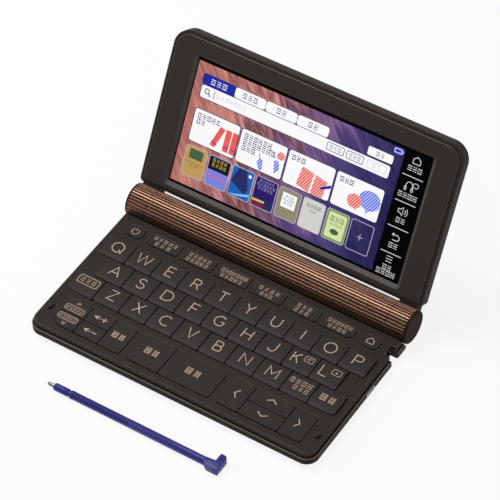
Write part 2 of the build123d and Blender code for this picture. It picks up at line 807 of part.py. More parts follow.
# ---- display: touch glass, liquid crystal module and the plate behind it ---------------------
module_face = glass_face.offset(-glass_thickness)
plate_face = module_face.offset(-module_thickness)
with BuildPart() as display_panel:
    with BuildSketch(module_face):
        glass_low = window_low - glass_margin
        lid_span(window_half_width + glass_margin, glass_low, window_high + glass_margin)
    extrude(amount=glass_thickness)
    with BuildSketch(plate_face):
        module_low = window_low - module_margin
        lid_span(window_half_width + module_margin, module_low, window_high + module_margin)
    extrude(amount=module_thickness)
save(display_panel, "display_panel")

# ---- stylus, laid on the table with its head to the right ------------------------------------
stylus_y = front_y - stylus_front
collar_start = stylus_length - tip_reach
neck_start = collar_start - collar_length
shaft_end = neck_start - neck_length
hole_end = collar_start - tip_hold
with BuildPart() as stylus:
    # head: a short leg to pull the stylus out with, and a ramp on its other side
    with BuildSketch():
        with BuildLine():
            Polyline(
                (stylus_x - head_ramp, stylus_y + stylus_radius - head_round),
                (stylus_x - head_ramp, stylus_y - stylus_radius + head_round),
                (stylus_x - head_ramp / 2, stylus_y - head_heel),
                (stylus_x + head_thickness, stylus_y - head_heel),
                (stylus_x + head_thickness, stylus_y + head_leg - head_corner),
                (stylus_x + head_thickness - head_corner, stylus_y + head_leg),
                (stylus_x, stylus_y + head_leg),
                (stylus_x, stylus_y + stylus_radius - head_round),
                close=True,
            )
        make_face()
    extrude(amount=2 * stylus_radius)
    chamfer(stylus.faces().filter_by(Plane.XY).edges(), head_round)
    # shaft, neck and collar, turned about the stylus's own line, with the hole for the tip
    with BuildSketch(Plane(origin=(stylus_x, stylus_y, stylus_radius), x_dir=(-1, 0, 0), z_dir=(0, 1, 0))):
        with BuildLine():
            Polyline(
                (0, 0),
                (0, stylus_radius),
                (shaft_end, stylus_radius),
                (shaft_end, stylus_neck_radius),
                (neck_start, stylus_neck_radius),
                (neck_start, collar_radius),
                (collar_start, collar_radius),
                (collar_start, tip_radius + seat_gap),
                (hole_end, tip_radius + seat_gap),
                (hole_end, 0),
                close=True,
            )
        make_face()
    revolve(axis=Axis((0, stylus_y, stylus_radius), (1, 0, 0)))
    # the metal tip is a separate rod, held in the collar
    with BuildSketch(Plane.YZ.offset(stylus_x - hole_end - seat_gap)):
        with Locations((stylus_y, stylus_radius)):
            Circle(tip_radius)
    extrude(amount=-(stylus_length - hole_end - seat_gap))
    fillet(stylus.faces().sort_by(Axis.X)[0].edges(), tip_round)
save(stylus, "stylus")
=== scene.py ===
import json
from math import atan2, cos, hypot, pi, radians, sin, sqrt

import bmesh
import bpy
from mathutils import Matrix, Vector


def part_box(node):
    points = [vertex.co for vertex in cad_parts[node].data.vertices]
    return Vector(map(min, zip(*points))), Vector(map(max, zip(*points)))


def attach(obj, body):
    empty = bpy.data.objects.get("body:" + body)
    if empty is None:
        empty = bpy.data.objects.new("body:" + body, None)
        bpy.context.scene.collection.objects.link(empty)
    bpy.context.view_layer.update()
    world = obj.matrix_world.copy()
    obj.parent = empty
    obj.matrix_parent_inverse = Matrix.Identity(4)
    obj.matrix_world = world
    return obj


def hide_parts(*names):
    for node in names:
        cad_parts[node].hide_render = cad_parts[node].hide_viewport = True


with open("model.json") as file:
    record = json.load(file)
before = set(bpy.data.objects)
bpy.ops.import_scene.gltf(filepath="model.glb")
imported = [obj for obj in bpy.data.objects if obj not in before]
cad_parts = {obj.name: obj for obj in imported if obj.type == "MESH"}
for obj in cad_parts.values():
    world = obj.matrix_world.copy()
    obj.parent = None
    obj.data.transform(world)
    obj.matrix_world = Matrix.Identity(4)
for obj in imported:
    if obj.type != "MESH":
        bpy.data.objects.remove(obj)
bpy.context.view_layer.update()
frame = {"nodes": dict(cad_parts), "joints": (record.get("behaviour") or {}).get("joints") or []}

# ---- lower case ---------------------------------------------------------------------------
# A shallow tray moulded in one piece from dark brown ABS with a fine matt grain. Its edges
# are broken by the mould, and the deck is pressed down on its rim.
MM = 0.001
case_colour = (0.0265, 0.0172, 0.0140)
case_edge_round = 0.16
case_rim_round = 0.4
case_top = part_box("lower_case")[0].z + 4.3 * MM


def moulded_plastic(name, colour, rough, grain=0.012, grain_size=0.22, shine=0.12):
    """Matt moulded plastic: fine spark-eroded grain, and a little drift in its shade."""
    plastic = bpy.data.materials.new(name)
    plastic.use_nodes = True
    tree = plastic.node_tree
    surface = tree.nodes["Principled BSDF"]
    surface.inputs["Specular IOR Level"].default_value = shine
    place = tree.nodes.new("ShaderNodeTexCoord")
    drift = tree.nodes.new("ShaderNodeTexNoise")
    drift.inputs["Scale"].default_value = 60
    drift.inputs["Detail"].default_value = 3
    tree.links.new(place.outputs["Object"], drift.inputs["Vector"])
    shade = tree.nodes.new("ShaderNodeMix")
    shade.data_type = "RGBA"
    shade.inputs["A"].default_value = (*[c * 0.93 for c in colour], 1)
    shade.inputs["B"].default_value = (*[c * 1.07 for c in colour], 1)
    tree.links.new(drift.outputs["Fac"], shade.inputs["Factor"])
    tree.links.new(shade.outputs["Result"], surface.inputs["Base Color"])
    sparks = tree.nodes.new("ShaderNodeTexNoise")
    sparks.inputs["Scale"].default_value = 1 / (grain_size * MM)
    sparks.inputs["Detail"].default_value = 2
    tree.links.new(place.outputs["Object"], sparks.inputs["Vector"])
    satin = tree.nodes.new("ShaderNodeMapRange")
    satin.inputs["To Min"].default_value = rough - 0.07
    satin.inputs["To Max"].default_value = rough + 0.07
    tree.links.new(sparks.outputs["Fac"], satin.inputs["Value"])
    tree.links.new(satin.outputs["Result"], surface.inputs["Roughness"])
    relief = tree.nodes.new("ShaderNodeBump")
    relief.inputs["Strength"].default_value = 0.5
    relief.inputs["Distance"].default_value = grain * MM
    tree.links.new(sparks.outputs["Fac"], relief.inputs["Height"])
    tree.links.new(relief.outputs["Normal"], surface.inputs["Normal"])
    return plastic


def softened(node, plastic, radius, edge_highlight_plastic=None, rim_round=None, angle=28):
    """A moulded copy of a solid, its sharp edges broken and, if asked, painted lighter there as a highlight.

    Where a rim is to be rounded more, its outer top edge is broken first."""
    mesh = frame["nodes"][node].data.copy()
    mesh.materials.clear()
    mesh.materials.append(plastic)
    if edge_highlight_plastic:
        mesh.materials.append(edge_highlight_plastic)
    work = bmesh.new()
    work.from_mesh(mesh)
    bmesh.ops.remove_doubles(work, verts=work.verts, dist=0.001 * MM)
    flat = radians(0.4)
    bmesh.ops.dissolve_limit(work, angle_limit=flat, verts=work.verts, edges=work.edges)
    if rim_round:
        low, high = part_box(node)
        middle = (low + high) / 2
        rim = []
        for edge in work.edges:
            outward = sum((vert.co for vert in edge.verts), Vector()) / 2 - middle
            outward.z = 0
            walls = [face for face in edge.link_faces if abs(face.normal.z) < 0.1]
            tops = [face for face in edge.link_faces if face.normal.z > 0.9]
            at_top = all(abs(vert.co.z - case_top) < 0.05 * MM for vert in edge.verts)
            far_out = abs(outward.x) > 0.93 * high.x or outward.y < 0.9 * (low.y - middle.y)
            if at_top and far_out and walls and tops and walls[0].normal.dot(outward) > 0:
                rim.append(edge)
        bmesh.ops.bevel(
            work, geom=rim, offset=rim_round * MM, offset_type="OFFSET", segments=3,
            profile=0.5, affect="EDGES", clamp_overlap=False, material=1,
        )
    sharp = [
        edge for edge in work.edges
        if len(edge.link_faces) == 2 and edge.calc_face_angle() > radians(angle)
    ]
    bmesh.ops.bevel(
        work, geom=sharp, offset=radius * MM, offset_type="WIDTH", segments=2,
        profile=0.6, affect="EDGES", clamp_overlap=False, material=1 if edge_highlight_plastic else -1,
    )
    bmesh.ops.recalc_face_normals(work, faces=work.faces)
    for face in work.faces:
        face.smooth = True
    work.to_mesh(mesh)
    work.free()
    mesh.set_sharp_from_angle(angle=radians(50))
    piece = bpy.data.objects.new(node + "_moulding", mesh)
    bpy.context.scene.collection.objects.link(piece)
    evened = piece.modifiers.new("even light", "WEIGHTED_NORMAL")
    evened.keep_sharp = True
    return piece


def belongs(piece, body, finish_slot, *solids):
    """Fixes a piece to its body, and hides the solids that it stands for."""
    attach(piece, body)
    if solids:
        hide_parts(*solids)
    return piece


case_plastic = moulded_plastic("case_plastic", case_colour, 0.5, shine=0.07)
# The case's broken edges and rounded rim get a much lighter, glossier plastic: a painted highlight.
case_edge_highlight = moulded_plastic("case_edge_highlight", (0.190, 0.135, 0.118), 0.36, shine=0.2)
lower_case = softened("lower_case", case_plastic, case_edge_round, case_edge_highlight, case_rim_round)
belongs(lower_case, "base", "case_plastic", "lower_case")

# ---- keyboard deck --------------------------------------------------------------------------
# The plate around the keys, moulded from the same brown plastic, a shade warmer than the
# case. It snaps down on the case's rim, and its top edge is chamfered all round.
deck_colour = (0.0310, 0.0215, 0.0182)
deck_plastic = moulded_plastic("deck_plastic", deck_colour, 0.46, shine=0.12)
# The deck's broken edges get a lighter, glossier plastic: a painted highlight.
deck_edge_highlight = moulded_plastic("deck_edge_highlight", (0.100, 0.077, 0.067), 0.36, shine=0.3)
deck = softened("keyboard_deck", deck_plastic, 0.2, deck_edge_highlight)
belongs(deck, "base", "deck_plastic", "keyboard_deck")

# ---- key mat ----------------------------------------------------------------------------------
# One sheet of black silicone rubber with a post under every key. It lies on the circuit
# board, and only its edge shows, deep in the gaps.
mat_rubber = moulded_plastic("mat_rubber", (0.012, 0.011, 0.011), 0.75, shine=0.25)
frame["nodes"]["key_mat"].data.materials.clear()
frame["nodes"]["key_mat"].data.materials.append(mat_rubber)

# ---- circuit board and USB socket -----------------------------------------------------------------
# Green laminate with black chips on its underside, and a bright steel socket shell that is
# soldered to it at the right-hand edge and looks out of the case's side.
board_node = frame["nodes"]["circuit_board"]
board_low, board_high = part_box("circuit_board")
key_mat_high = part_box("key_mat")[1]
socket_depth = 5.9 * MM


def laminate_and_steel(name, steel_from):
    """Solder mask over laminate up to a line along X, and tinned steel past it."""
    board = bpy.data.materials.new(name)
    board.use_nodes = True
    tree = board.node_tree
    surface = tree.nodes["Principled BSDF"]
    place = tree.nodes.new("ShaderNodeTexCoord")
    split = tree.nodes.new("ShaderNodeSeparateXYZ")
    tree.links.new(place.outputs["Object"], split.inputs["Vector"])
    past = tree.nodes.new("ShaderNodeMath")
    past.operation = "GREATER_THAN"
    past.inputs[1].default_value = steel_from
    tree.links.new(split.outputs["X"], past.inputs[0])
    weave = tree.nodes.new("ShaderNodeTexNoise")
    weave.inputs["Scale"].default_value = 900
    tree.links.new(place.outputs["Object"], weave.inputs["Vector"])
    mask = tree.nodes.new("ShaderNodeMix")
    mask.data_type = "RGBA"
    mask.inputs["A"].default_value = (0.008, 0.07, 0.03, 1)
    mask.inputs["B"].default_value = (0.015, 0.11, 0.05, 1)
    tree.links.new(weave.outputs["Fac"], mask.inputs["Factor"])
    colour = tree.nodes.new("ShaderNodeMix")
    colour.data_type = "RGBA"
    colour.inputs["B"].default_value = (0.75, 0.74, 0.72, 1)
    tree.links.new(past.outputs["Value"], colour.inputs["Factor"])
    tree.links.new(mask.outputs["Result"], colour.inputs["A"])
    tree.links.new(colour.outputs["Result"], surface.inputs["Base Color"])
    tree.links.new(past.outputs["Value"], surface.inputs["Metallic"])
    surface.inputs["Roughness"].default_value = 0.32
    return board


board_node.data.materials.clear()
board_node.data.materials.append(laminate_and_steel("board_laminate", board_high.x - socket_depth))

# ---- feet, heels and bumpers ---------------------------------------------------------------------
# Soft black rubber, moulded and pressed into pockets: two round feet at the front, two heels
# under the barrel, and two small bumpers that the closed lid rests on.
pad_rubber = moulded_plastic("pad_rubber", (0.016, 0.014, 0.013), 0.62, shine=0.3)
pads = softened("rubber_pads", pad_rubber, 0.2)
belongs(pads, "base", "pad_rubber", "rubber_pads")

# ---- case screws ----------------------------------------------------------------------------------
# Four blackened steel screws with cross slots, driven up through the bottom of the case into
# the deck. Only their pan heads show from below.
screw_head_radius = 1.7
screw_head_height = 0.22
screw_slot_width = 0.45
screw_slot_length = 2.0
case_low, case_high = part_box("lower_case")
screw_side_room = 9.0 * MM
screw_front_room = 19.0 * MM
screw_rear_room = 9.5 * MM


def prism(work, outline, low, high, place):
    """A closed prism between two heights, its outline in millimetres of a placed face."""
    rings = [
        [work.verts.new(place @ Vector((x, y, height))) for x, y in outline]
        for height in (low, high)
    ]
    work.faces.new(list(reversed(rings[0])))
    work.faces.new(rings[1])
    count = len(outline)
    for number in range(count):
        following = (number + 1) % count
        work.faces.new((
            rings[0][number], rings[0][following], rings[1][following], rings[1][number],
        ))


def arc(centre_x, centre_y, radius_x, radius_y, start, end, steps):
    """Points along an elliptical arc, its angles in degrees."""
    angles = [radians(start + (end - start) * step / steps) for step in range(steps + 1)]
    return [(centre_x + radius_x * cos(a), centre_y + radius_y * sin(a)) for a in angles]


def finished(work, name, material, smooth_angle=None):
    """Turns a worked mesh into a piece with one material."""
    bmesh.ops.recalc_face_normals(work, faces=work.faces)
    mesh = bpy.data.meshes.new(name)
    if smooth_angle is not None:
        for face in work.faces:
            face.smooth = True
    work.to_mesh(mesh)
    work.free()
    if smooth_angle is not None:
        mesh.set_sharp_from_angle(angle=radians(smooth_angle))
    mesh.materials.append(material)
    piece = bpy.data.objects.new(name, mesh)
    bpy.context.scene.collection.objects.link(piece)
    return piece


def bare_metal(name, colour, rough, brushed=0.08):
    """Metal with fine wandering scratches in its polish."""
    metal = bpy.data.materials.new(name)
    metal.use_nodes = True
    tree = metal.node_tree
    surface = tree.nodes["Principled BSDF"]
    surface.inputs["Base Color"].default_value = (*colour, 1)
    surface.inputs["Metallic"].default_value = 1
    place = tree.nodes.new("ShaderNodeTexCoord")
    scratches = tree.nodes.new("ShaderNodeTexNoise")
    scratches.inputs["Scale"].default_value = 1400
    scratches.inputs["Detail"].default_value = 4
    tree.links.new(place.outputs["Object"], scratches.inputs["Vector"])
    polish = tree.nodes.new("ShaderNodeMapRange")
    polish.inputs["To Min"].default_value = rough - brushed
    polish.inputs["To Max"].default_value = rough + brushed
    tree.links.new(scratches.outputs["Fac"], polish.inputs["Value"])
    tree.links.new(polish.outputs["Result"], surface.inputs["Roughness"])
    return metal


screw_steel = bare_metal("screw_steel", (0.11, 0.105, 0.1), 0.4)
screws = bmesh.new()
screw_centres = [
    (side * (case_high.x - screw_side_room), y)
    for side in (-1, 1)
    for y in (case_low.y + screw_front_room, case_high.y - screw_rear_room)
]
for x, y in screw_centres:
    head = Matrix.Translation((x, y, case_low.z)) @ Matrix.Rotation(pi, 4, "X") @ Matrix.Scale(MM, 4)
    prism(screws, arc(0, 0, screw_head_radius, screw_head_radius, 0, 345, 23), -0.5, screw_head_height, head)
case_screws = finished(screws, "case_screw_heads", screw_steel)
belongs(case_screws, "base", "case_plastic")
# The cross slots are not cut: a near-black cross laid on each head is painted shade where the slots are.
slots = bmesh.new()
for x, y in screw_centres:
    head = Matrix.Translation((x, y, case_low.z)) @ Matrix.Rotation(pi, 4, "X") @ Matrix.Scale(MM, 4)
    half_width, half_length = screw_slot_width / 2, screw_slot_length / 2
    cross = [
        (half_width, half_width), (half_width, half_length), (-half_width, half_length),
        (-half_width, half_width), (-half_length, half_width), (-half_length, -half_width),
        (-half_width, -half_width), (-half_width, -half_length), (half_width, -half_length),
        (half_width, -half_width), (half_length, -half_width), (half_length, half_width),
    ]
    prism(slots, cross, screw_head_height - 0.1, screw_head_height + 0.01, head)
screw_slot_shade = finished(slots, "case_screw_slot_shade", mat_rubber)
belongs(screw_slot_shade, "base", "mat_rubber")

# ---- socket shell ---------------------------------------------------------------------------------
# The drawn mouth of the USB socket: a bright steel sleeve around its tongue, that stands in
# the opening in the case's side.
socket_middle = -6.0
socket_half_width = 3.05
socket_half_height = 0.9
socket_wall = 0.42
socket_base = board_low.z / MM + socket_half_height
mouth_place = Matrix.Translation((case_high.x, socket_middle * MM, socket_base * MM)) @ Matrix((
    (0, 0, 1, 0), (1, 0, 0, 0), (0, 1, 0, 0), (0, 0, 0, 1),
)) @ Matrix.Scale(MM, 4)
shell_work = bmesh.new()
outer = [(-socket_half_width, -socket_half_height), (socket_half_width, -socket_half_height),
         (socket_half_width, socket_half_height), (-socket_half_width, socket_half_height)]
inner = [(x - (socket_wall if x > 0 else -socket_wall), y - (socket_wall if y > 0 else -socket_wall)) for x, y in outer]
for number in range(4):
    following = (number + 1) % 4
    prism(shell_work, [outer[number], outer[following], inner[following], inner[number]], -0.7, -0.06, mouth_place)
socket_shell = finished(shell_work, "socket_shell", bare_metal("socket_steel", (0.93, 0.93, 0.92), 0.34))
belongs(socket_shell, "base", "board_laminate")
lip_work = bmesh.new()
for low, high, outside in ((-1.08, -0.7, -0.3), (-0.7, -0.42, -0.02)):
    lip = [(-3.14, low), (3.14, low), (3.14, high), (-3.14, high)]
    prism(lip_work, lip, -1.2, outside, mouth_place)
mouth_lip = finished(lip_work, "mouth_lip", case_plastic)
belongs(mouth_lip, "base", "case_plastic")

# ---- key caps ---------------------------------------------------------------------------------------
# Each cap is its own moulding of satin brown plastic. It stands on a post of the rubber mat,
# and its sharp edges are broken by the mould.
key_colour = (0.0310, 0.0255, 0.0228)
key_plastic = moulded_plastic("key_plastic", key_colour, 0.44, grain=0.008)
# The upright flanks of each cap and the floor of its groove get a near-black plastic: painted shade in the gaps.
key_painted_shade = moulded_plastic("key_painted_shade", (0.0100, 0.0082, 0.0074), 0.6, grain=0.008, shine=0.05)
shaded_steepness = 0.4
shaded_groove_drop = 0.15 * MM
key_nodes = sorted(
    name for name in frame["nodes"]
    if (name.startswith(("key_", "function_key")) or name.endswith("rocker")) and name != "key_mat"
)
letter_edge_round = 0.2
flat_edge_round = 0.13
for name in key_nodes:
    low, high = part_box(name)
    stands_tall = high.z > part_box("key_back")[1].z + 0.1 * MM
    cap = softened(name, key_plastic, letter_edge_round if stands_tall else flat_edge_round)
    cap.data.materials.append(key_painted_shade)
    groove_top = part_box(name)[1].z - shaded_groove_drop
    # Faces that take the painted shade: near-upright flanks, and groove floors below the top.
    for face in cap.data.polygons:
        in_shaded_groove = face.normal.z > 0.99 and face.center.z < groove_top
        if abs(face.normal.z) < shaded_steepness or in_shaded_groove:
            face.material_index = 1
    belongs(cap, name, "key_plastic", name)

# ---- key legends: letters -----------------------------------------------------------------------------
# Thin capitals in pale copper ink, pad printed on the caps. A legend is a few hundredths of
# a millimetre thick and moves with its key.
ink_lift = 0.004
ink_thickness = 0.03
letter_stroke = 0.5
half_cap = 2.73              # middle of the stroke to the middle of the letter
clear_front = 1.4            # front of a letter key, left clear below its legend


class PadPrint:
    """Ink laid on a flat face as thin closed shapes, in millimetres of that face."""

    def __init__(self, thickness=ink_thickness, lift=ink_lift):
        self.work = bmesh.new()
        self.thickness = thickness
        self.lift = lift
        self.layer = 0

    def heights(self):
        self.layer += 1
        return self.lift, self.lift + self.thickness + 0.0006 * self.layer

    def patch(self, outline):
        """A filled shape."""
        low, high = self.heights()
        prism(self.work, outline, low, high, Matrix.Identity(4))

    def line(self, points, width, closed=False):
        """A stroke of even width along a chain of points, with mitred corners."""
        low, high = self.heights()
        half = width / 2
        points = [
            point for point, before in zip(points, [None] + points[:-1])
            if before is None or hypot(point[0] - before[0], point[1] - before[1]) > 0.01
        ]
        count = len(points)
        stations = []
        for number, (x, y) in enumerate(points):
            before = points[number - 1] if number or closed else None
            after = points[(number + 1) % count] if number < count - 1 or closed else None
            ways = []
            for start, end in ((before, (x, y)), ((x, y), after)):
                if start and end:
                    length = hypot(end[0] - start[0], end[1] - start[1])
                    ways.append(((end[0] - start[0]) / length, (end[1] - start[1]) / length))
            way_x = sum(way[0] for way in ways)
            way_y = sum(way[1] for way in ways)
            length = max(hypot(way_x, way_y), 0.05)
            way_x, way_y = way_x / length, way_y / length
            reach = half / max(way_x * ways[0][0] + way_y * ways[0][1], 0.6)
            corners = [(x - way_y * reach, y + way_x * reach), (x + way_y * reach, y - way_x * reach)]
            stations.append([
                self.work.verts.new((px, py, height))
                for height in (low, high) for px, py in corners
            ])
        last = count if closed else count - 1
        for number in range(last):
            here, there = stations[number], stations[(number + 1) % count]
            for a, b in ((0, 1), (1, 3), (3, 2), (2, 0)):
                self.work.faces.new((here[a], here[b], there[b], there[a]))
        if not closed:
            for station in (stations[0], stations[-1]):
                self.work.faces.new((station[0], station[1], station[3], station[2]))

    def printed(self, name, face, ink):
        """The print as a piece on its face, where face turns millimetres into its place."""
        bmesh.ops.transform(self.work, matrix=face, verts=self.work.verts)
        return finished(self.work, name, ink)


def rounded(x0, y0, x1, y1, radius, steps=5):
    """Outline of a rounded rectangle."""
    corners = [
        (x1 - radius, y0 + radius, -90), (x1 - radius, y1 - radius, 0),
        (x0 + radius, y1 - radius, 90), (x0 + radius, y0 + radius, 180),
    ]
    outline = []
    for x, y, start in corners:
        outline += arc(x, y, radius, radius, start, start + 90, steps)
    return outline


def bowl(x0, x1, y0, y1):
    """The round part of B, D, P and R, from its stem out and back."""
    radius = (y1 - y0) / 2
    return [(x0, y1)] + arc(x1 - radius, (y0 + y1) / 2, radius, radius, 90, -90, 12) + [(x0, y0)]


top, foot = half_cap, -half_cap
letter_strokes = {
    "a": [[(-2.5, foot), (0, top), (2.5, foot)], [(-1.65, -0.95), (1.65, -0.95)]],
    "b": [[(-1.85, foot), (-1.85, top)], bowl(-1.85, 1.5, 0.2, top), bowl(-1.85, 1.85, foot, 0.2)],
    "c": [arc(0.35, 0, 2.75, half_cap, 52, 308, 22)],
    "d": [[(-2.45, foot), (-2.45, top)], bowl(-2.45, 2.5, foot, top)],
    "e": [[(1.7, top), (-1.65, top), (-1.65, foot), (1.7, foot)], [(-1.65, 0.1), (1.5, 0.1)]],
    "f": [[(1.75, top), (-1.75, top), (-1.75, foot)], [(-1.75, 0.05), (1.4, 0.05)]],
    "g": [arc(0, 0, 2.6, half_cap, 50, 318, 22) + [(2.2, -0.2), (0.45, -0.2)]],
    "h": [[(-2.1, foot), (-2.1, top)], [(2.1, foot), (2.1, top)], [(-2.1, 0.05), (2.1, 0.05)]],
    "i": [[(0, foot), (0, top)]],
    "j": [[(1.75, top)] + arc(-0.2, foot + 1.9, 1.95, 1.9, 0, -150, 12)],
    "k": [[(-1.7, foot), (-1.7, top)], [(1.7, top), (-1.6, -0.4)], [(-0.45, 0.7), (1.85, foot)]],
    "l": [[(-1.7, top), (-1.7, foot), (1.8, foot)]],
    "m": [[(-2.7, foot), (-2.6, top), (0, -1.1), (2.6, top), (2.7, foot)]],
    "n": [[(-2.2, foot), (-2.2, top), (2.2, foot), (2.2, top)]],
    "o": [arc(0, 0, 2.8, 2.82, 0, 345, 23)],
    "p": [[(-1.9, foot), (-1.9, top)], bowl(-1.9, 1.95, -0.35, top)],
    "q": [arc(0, 0, 2.85, 2.82, 0, 345, 23), [(0.85, -0.95), (3.05, foot - 0.15)]],
    "r": [[(-1.8, foot), (-1.8, top)], bowl(-1.8, 1.65, -0.05, top), [(0.1, -0.05), (1.95, foot)]],
    "s": [
        arc(0, 1.42, 1.62, 1.31, 28, 262, 14)
        + arc(-0.05, -1.3, 1.85, 1.43, 72, -152, 14)
    ],
    "t": [[(-2.05, top), (2.05, top)], [(0, top), (0, foot)]],
    "u": [[(-2.15, top)] + arc(0, foot + 2.15, 2.15, 2.15, 180, 360, 14) + [(2.15, top)]],
    "v": [[(-2.2, top), (0, foot), (2.2, top)]],
    "w": [[(-3.4, top), (-1.75, foot), (0, top), (1.75, foot), (3.4, top)]],
    "x": [[(-2.05, top), (2.05, foot)], [(2.05, top), (-2.05, foot)]],
    "y": [[(-2.0, top), (0, -0.15), (2.0, top)], [(0, -0.15), (0, foot)]],
    "z": [[(-1.85, top), (1.85, top), (-1.95, foot), (2.0, foot)]],
}
closed_letters = ("o", "q")
letter_shift = {"g": -0.3, "j": -0.6, "k": -2.9, "l": -2.5, "q": -0.2}


def printing_ink(name, colour):
    """Matt printing ink, a little uneven where it was laid on."""
    ink = bpy.data.materials.new(name)
    ink.use_nodes = True
    tree = ink.node_tree
    surface = tree.nodes["Principled BSDF"]
    surface.inputs["Roughness"].default_value = 0.55
    surface.inputs["Specular IOR Level"].default_value = 0.3
    place = tree.nodes.new("ShaderNodeTexCoord")
    speckle = tree.nodes.new("ShaderNodeTexNoise")
    speckle.inputs["Scale"].default_value = 2500
    tree.links.new(place.outputs["Object"], speckle.inputs["Vector"])
    shade = tree.nodes.new("ShaderNodeMix")
    shade.data_type = "RGBA"
    shade.inputs["A"].default_value = (*[c * 0.88 for c in colour], 1)
    shade.inputs["B"].default_value = (*[min(c * 1.1, 1) for c in colour], 1)
    tree.links.new(speckle.outputs["Fac"], shade.inputs["Factor"])
    tree.links.new(shade.outputs["Result"], surface.inputs["Base Color"])
    return ink


copper_ink = printing_ink("copper_ink", (0.60, 0.415, 0.30))


def key_face(node, clear=0.0):
    """The middle of a key's top behind its clear front, as a matrix from millimetres."""
    low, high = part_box(node)
    middle = Vector(((low.x + high.x) / 2, (low.y + clear * MM + high.y) / 2, high.z))
    return Matrix.Translation(middle) @ Matrix.Scale(MM, 4)


for letter, strokes in letter_strokes.items():
    legend = PadPrint()
    shift = letter_shift.get(letter, 0)
    for number, stroke in enumerate(strokes):
        moved = [(x + shift, y) for x, y in stroke]
        legend.line(moved, letter_stroke, closed=letter in closed_letters and number == 0)
    if letter in ("k", "l"):
        legend.line(rounded(0.7, 0.1, 5.05, 3.15, 0.75), 0.28, closed=True)
        if letter == "k":
            legend.line([(2.85, 0.7), (2.85, 2.55)], 0.28)
            legend.line([(1.6, 1.6), (2.85, 1.6)], 0.28)
            legend.line([(3.5, 2.1), (4.2, 2.1)], 0.28)
        else:
            legend.patch([(2.25, 1.15), (3.5, 1.15), (2.87, 2.15)])
    piece = legend.printed("legend_" + letter, key_face("key_" + letter, clear_front), copper_ink)
    belongs(piece, "key_" + letter, "key_plastic")

# ---- key legends: symbols -------------------------------------------------------------------------------
# The same copper ink on the other keys: plain line symbols where a symbol says enough, and
# rows of small dashed blocks where the keys would carry words.
def arrow_head(x, y, way_x, way_y, size):
    """A filled triangle that points one way."""
    return [
        (x + way_x * size, y + way_y * size),
        (x - way_y * size * 0.75, y + way_x * size * 0.75),
        (x + way_y * size * 0.75, y - way_x * size * 0.75),
    ]


def speaker(print_on, x, y):
    """A small loudspeaker with one wave."""
    print_on.patch([(x - 1.4, y - 0.45), (x - 0.7, y - 0.45), (x + 0.4, y - 1.15), (x + 0.4, y + 1.15),
                    (x - 0.7, y + 0.45), (x - 1.4, y + 0.45)])
    print_on.line(arc(x + 0.4, y, 0.95, 0.95, -48, 48, 6), 0.3)


def signs(print_on, middle, y, count, pitch, size=1.9, weight=0.16):
    """A row of generic signs: each is a block of dashes, whole and broken ones in turn."""
    rows = 3 if size < 2.8 else 5
    row_pitch = size * 0.84 / (rows - 1)
    width = min(size * weight, 0.42)
    for number in range(count):
        x = middle + (number - (count - 1) / 2) * pitch
        half = size * (0.44, 0.36, 0.47)[number % 3]
        for row in range(rows):
            at = y + (row - (rows - 1) / 2) * row_pitch
            if (row + number) % 2:
                print_on.line([(x - half, at), (x - half * 0.3, at)], width)
                print_on.line([(x + half * 0.15, at), (x + half, at)], width)
            else:
                print_on.line([(x - half, at), (x + half, at)], width)


symbols = {}

power = PadPrint()
power.line(arc(-0.3, -0.15, 1.7, 1.7, 122, 418, 20), 0.34)
power.line([(-0.3, 0.3), (-0.3, 1.95)], 0.34)
symbols["key_power"] = power

home = PadPrint()
home.line([(-2.2, 0.5), (-0.55, 1.95), (1.1, 0.5), (1.1, -1.35), (-2.2, -1.35)], 0.34, closed=True)
symbols["key_home"] = home

shift_key = PadPrint()
shift_key.line(rounded(-5.1, -1.15, 5.35, 3.45, 0.9), 0.36, closed=True)
signs(shift_key, 0.1, 1.15, 3, 2.9, 2.2)
symbols["key_shift"] = shift_key

space_key = PadPrint()
signs(space_key, -0.3, 1.35, 4, 2.9, 2.5)
signs(space_key, 1.3, -1.9, 3, 2.8, 2.2)
symbols["key_space"] = space_key

delete_key = PadPrint()
signs(delete_key, 0.0, -0.1, 2, 4.2, 3.6)
symbols["key_delete"] = delete_key

history = PadPrint()
signs(history, 0.0, 0.35, 2, 3.6, 3.2)
symbols["key_history"] = history

back = PadPrint()
signs(back, 0.15, 0.45, 2, 3.9, 3.4)
symbols["key_back"] = back

enter = PadPrint()
signs(enter, 0.0, 0.35, 2, 4.3, 3.5)
symbols["key_enter"] = enter

left_key = PadPrint()
left_key.line([(0.85, 2.75), (-0.85, 0.45), (0.85, -1.85)], 0.5)
symbols["key_left"] = left_key

right_key = PadPrint()
right_key.line([(-1.2, 2.75), (0.5, 0.45), (-1.2, -1.85)], 0.5)
symbols["key_right"] = right_key

up_down = PadPrint()
up_down.line([(-2.45, 4.1), (0, 5.7), (2.45, 4.1)], 0.5)
up_down.line([(-2.45, -3.05), (0, -4.65), (2.45, -3.05)], 0.5)
symbols["up_down_rocker"] = up_down

volume = PadPrint()
for upward, y in ((True, 4.5), (False, -3.9)):
    speaker(volume, -1.75, y)
    volume.line([(0.55, y), (3.3, y)], 0.5)
    if upward:
        volume.line([(1.92, y - 1.35), (1.92, y + 1.35)], 0.5)
symbols["volume_rocker"] = volume

jump = PadPrint()
for way, pill_y, tip_y in ((1, 3.0, 6.2), (-1, -2.5, -5.8)):
    jump.line(rounded(-5.0, pill_y - 1.5, 4.7, pill_y + 1.5, 0.8), 0.3, closed=True)
    signs(jump, -0.15, pill_y, 5, 1.75, 1.5)
    for tip in (tip_y, tip_y + way * 0.75):
        jump.line([(-1.1, tip - way * 0.5), (-0.15, tip + way * 0.25), (0.8, tip - way * 0.5)], 0.24)
symbols["jump_rocker"] = jump

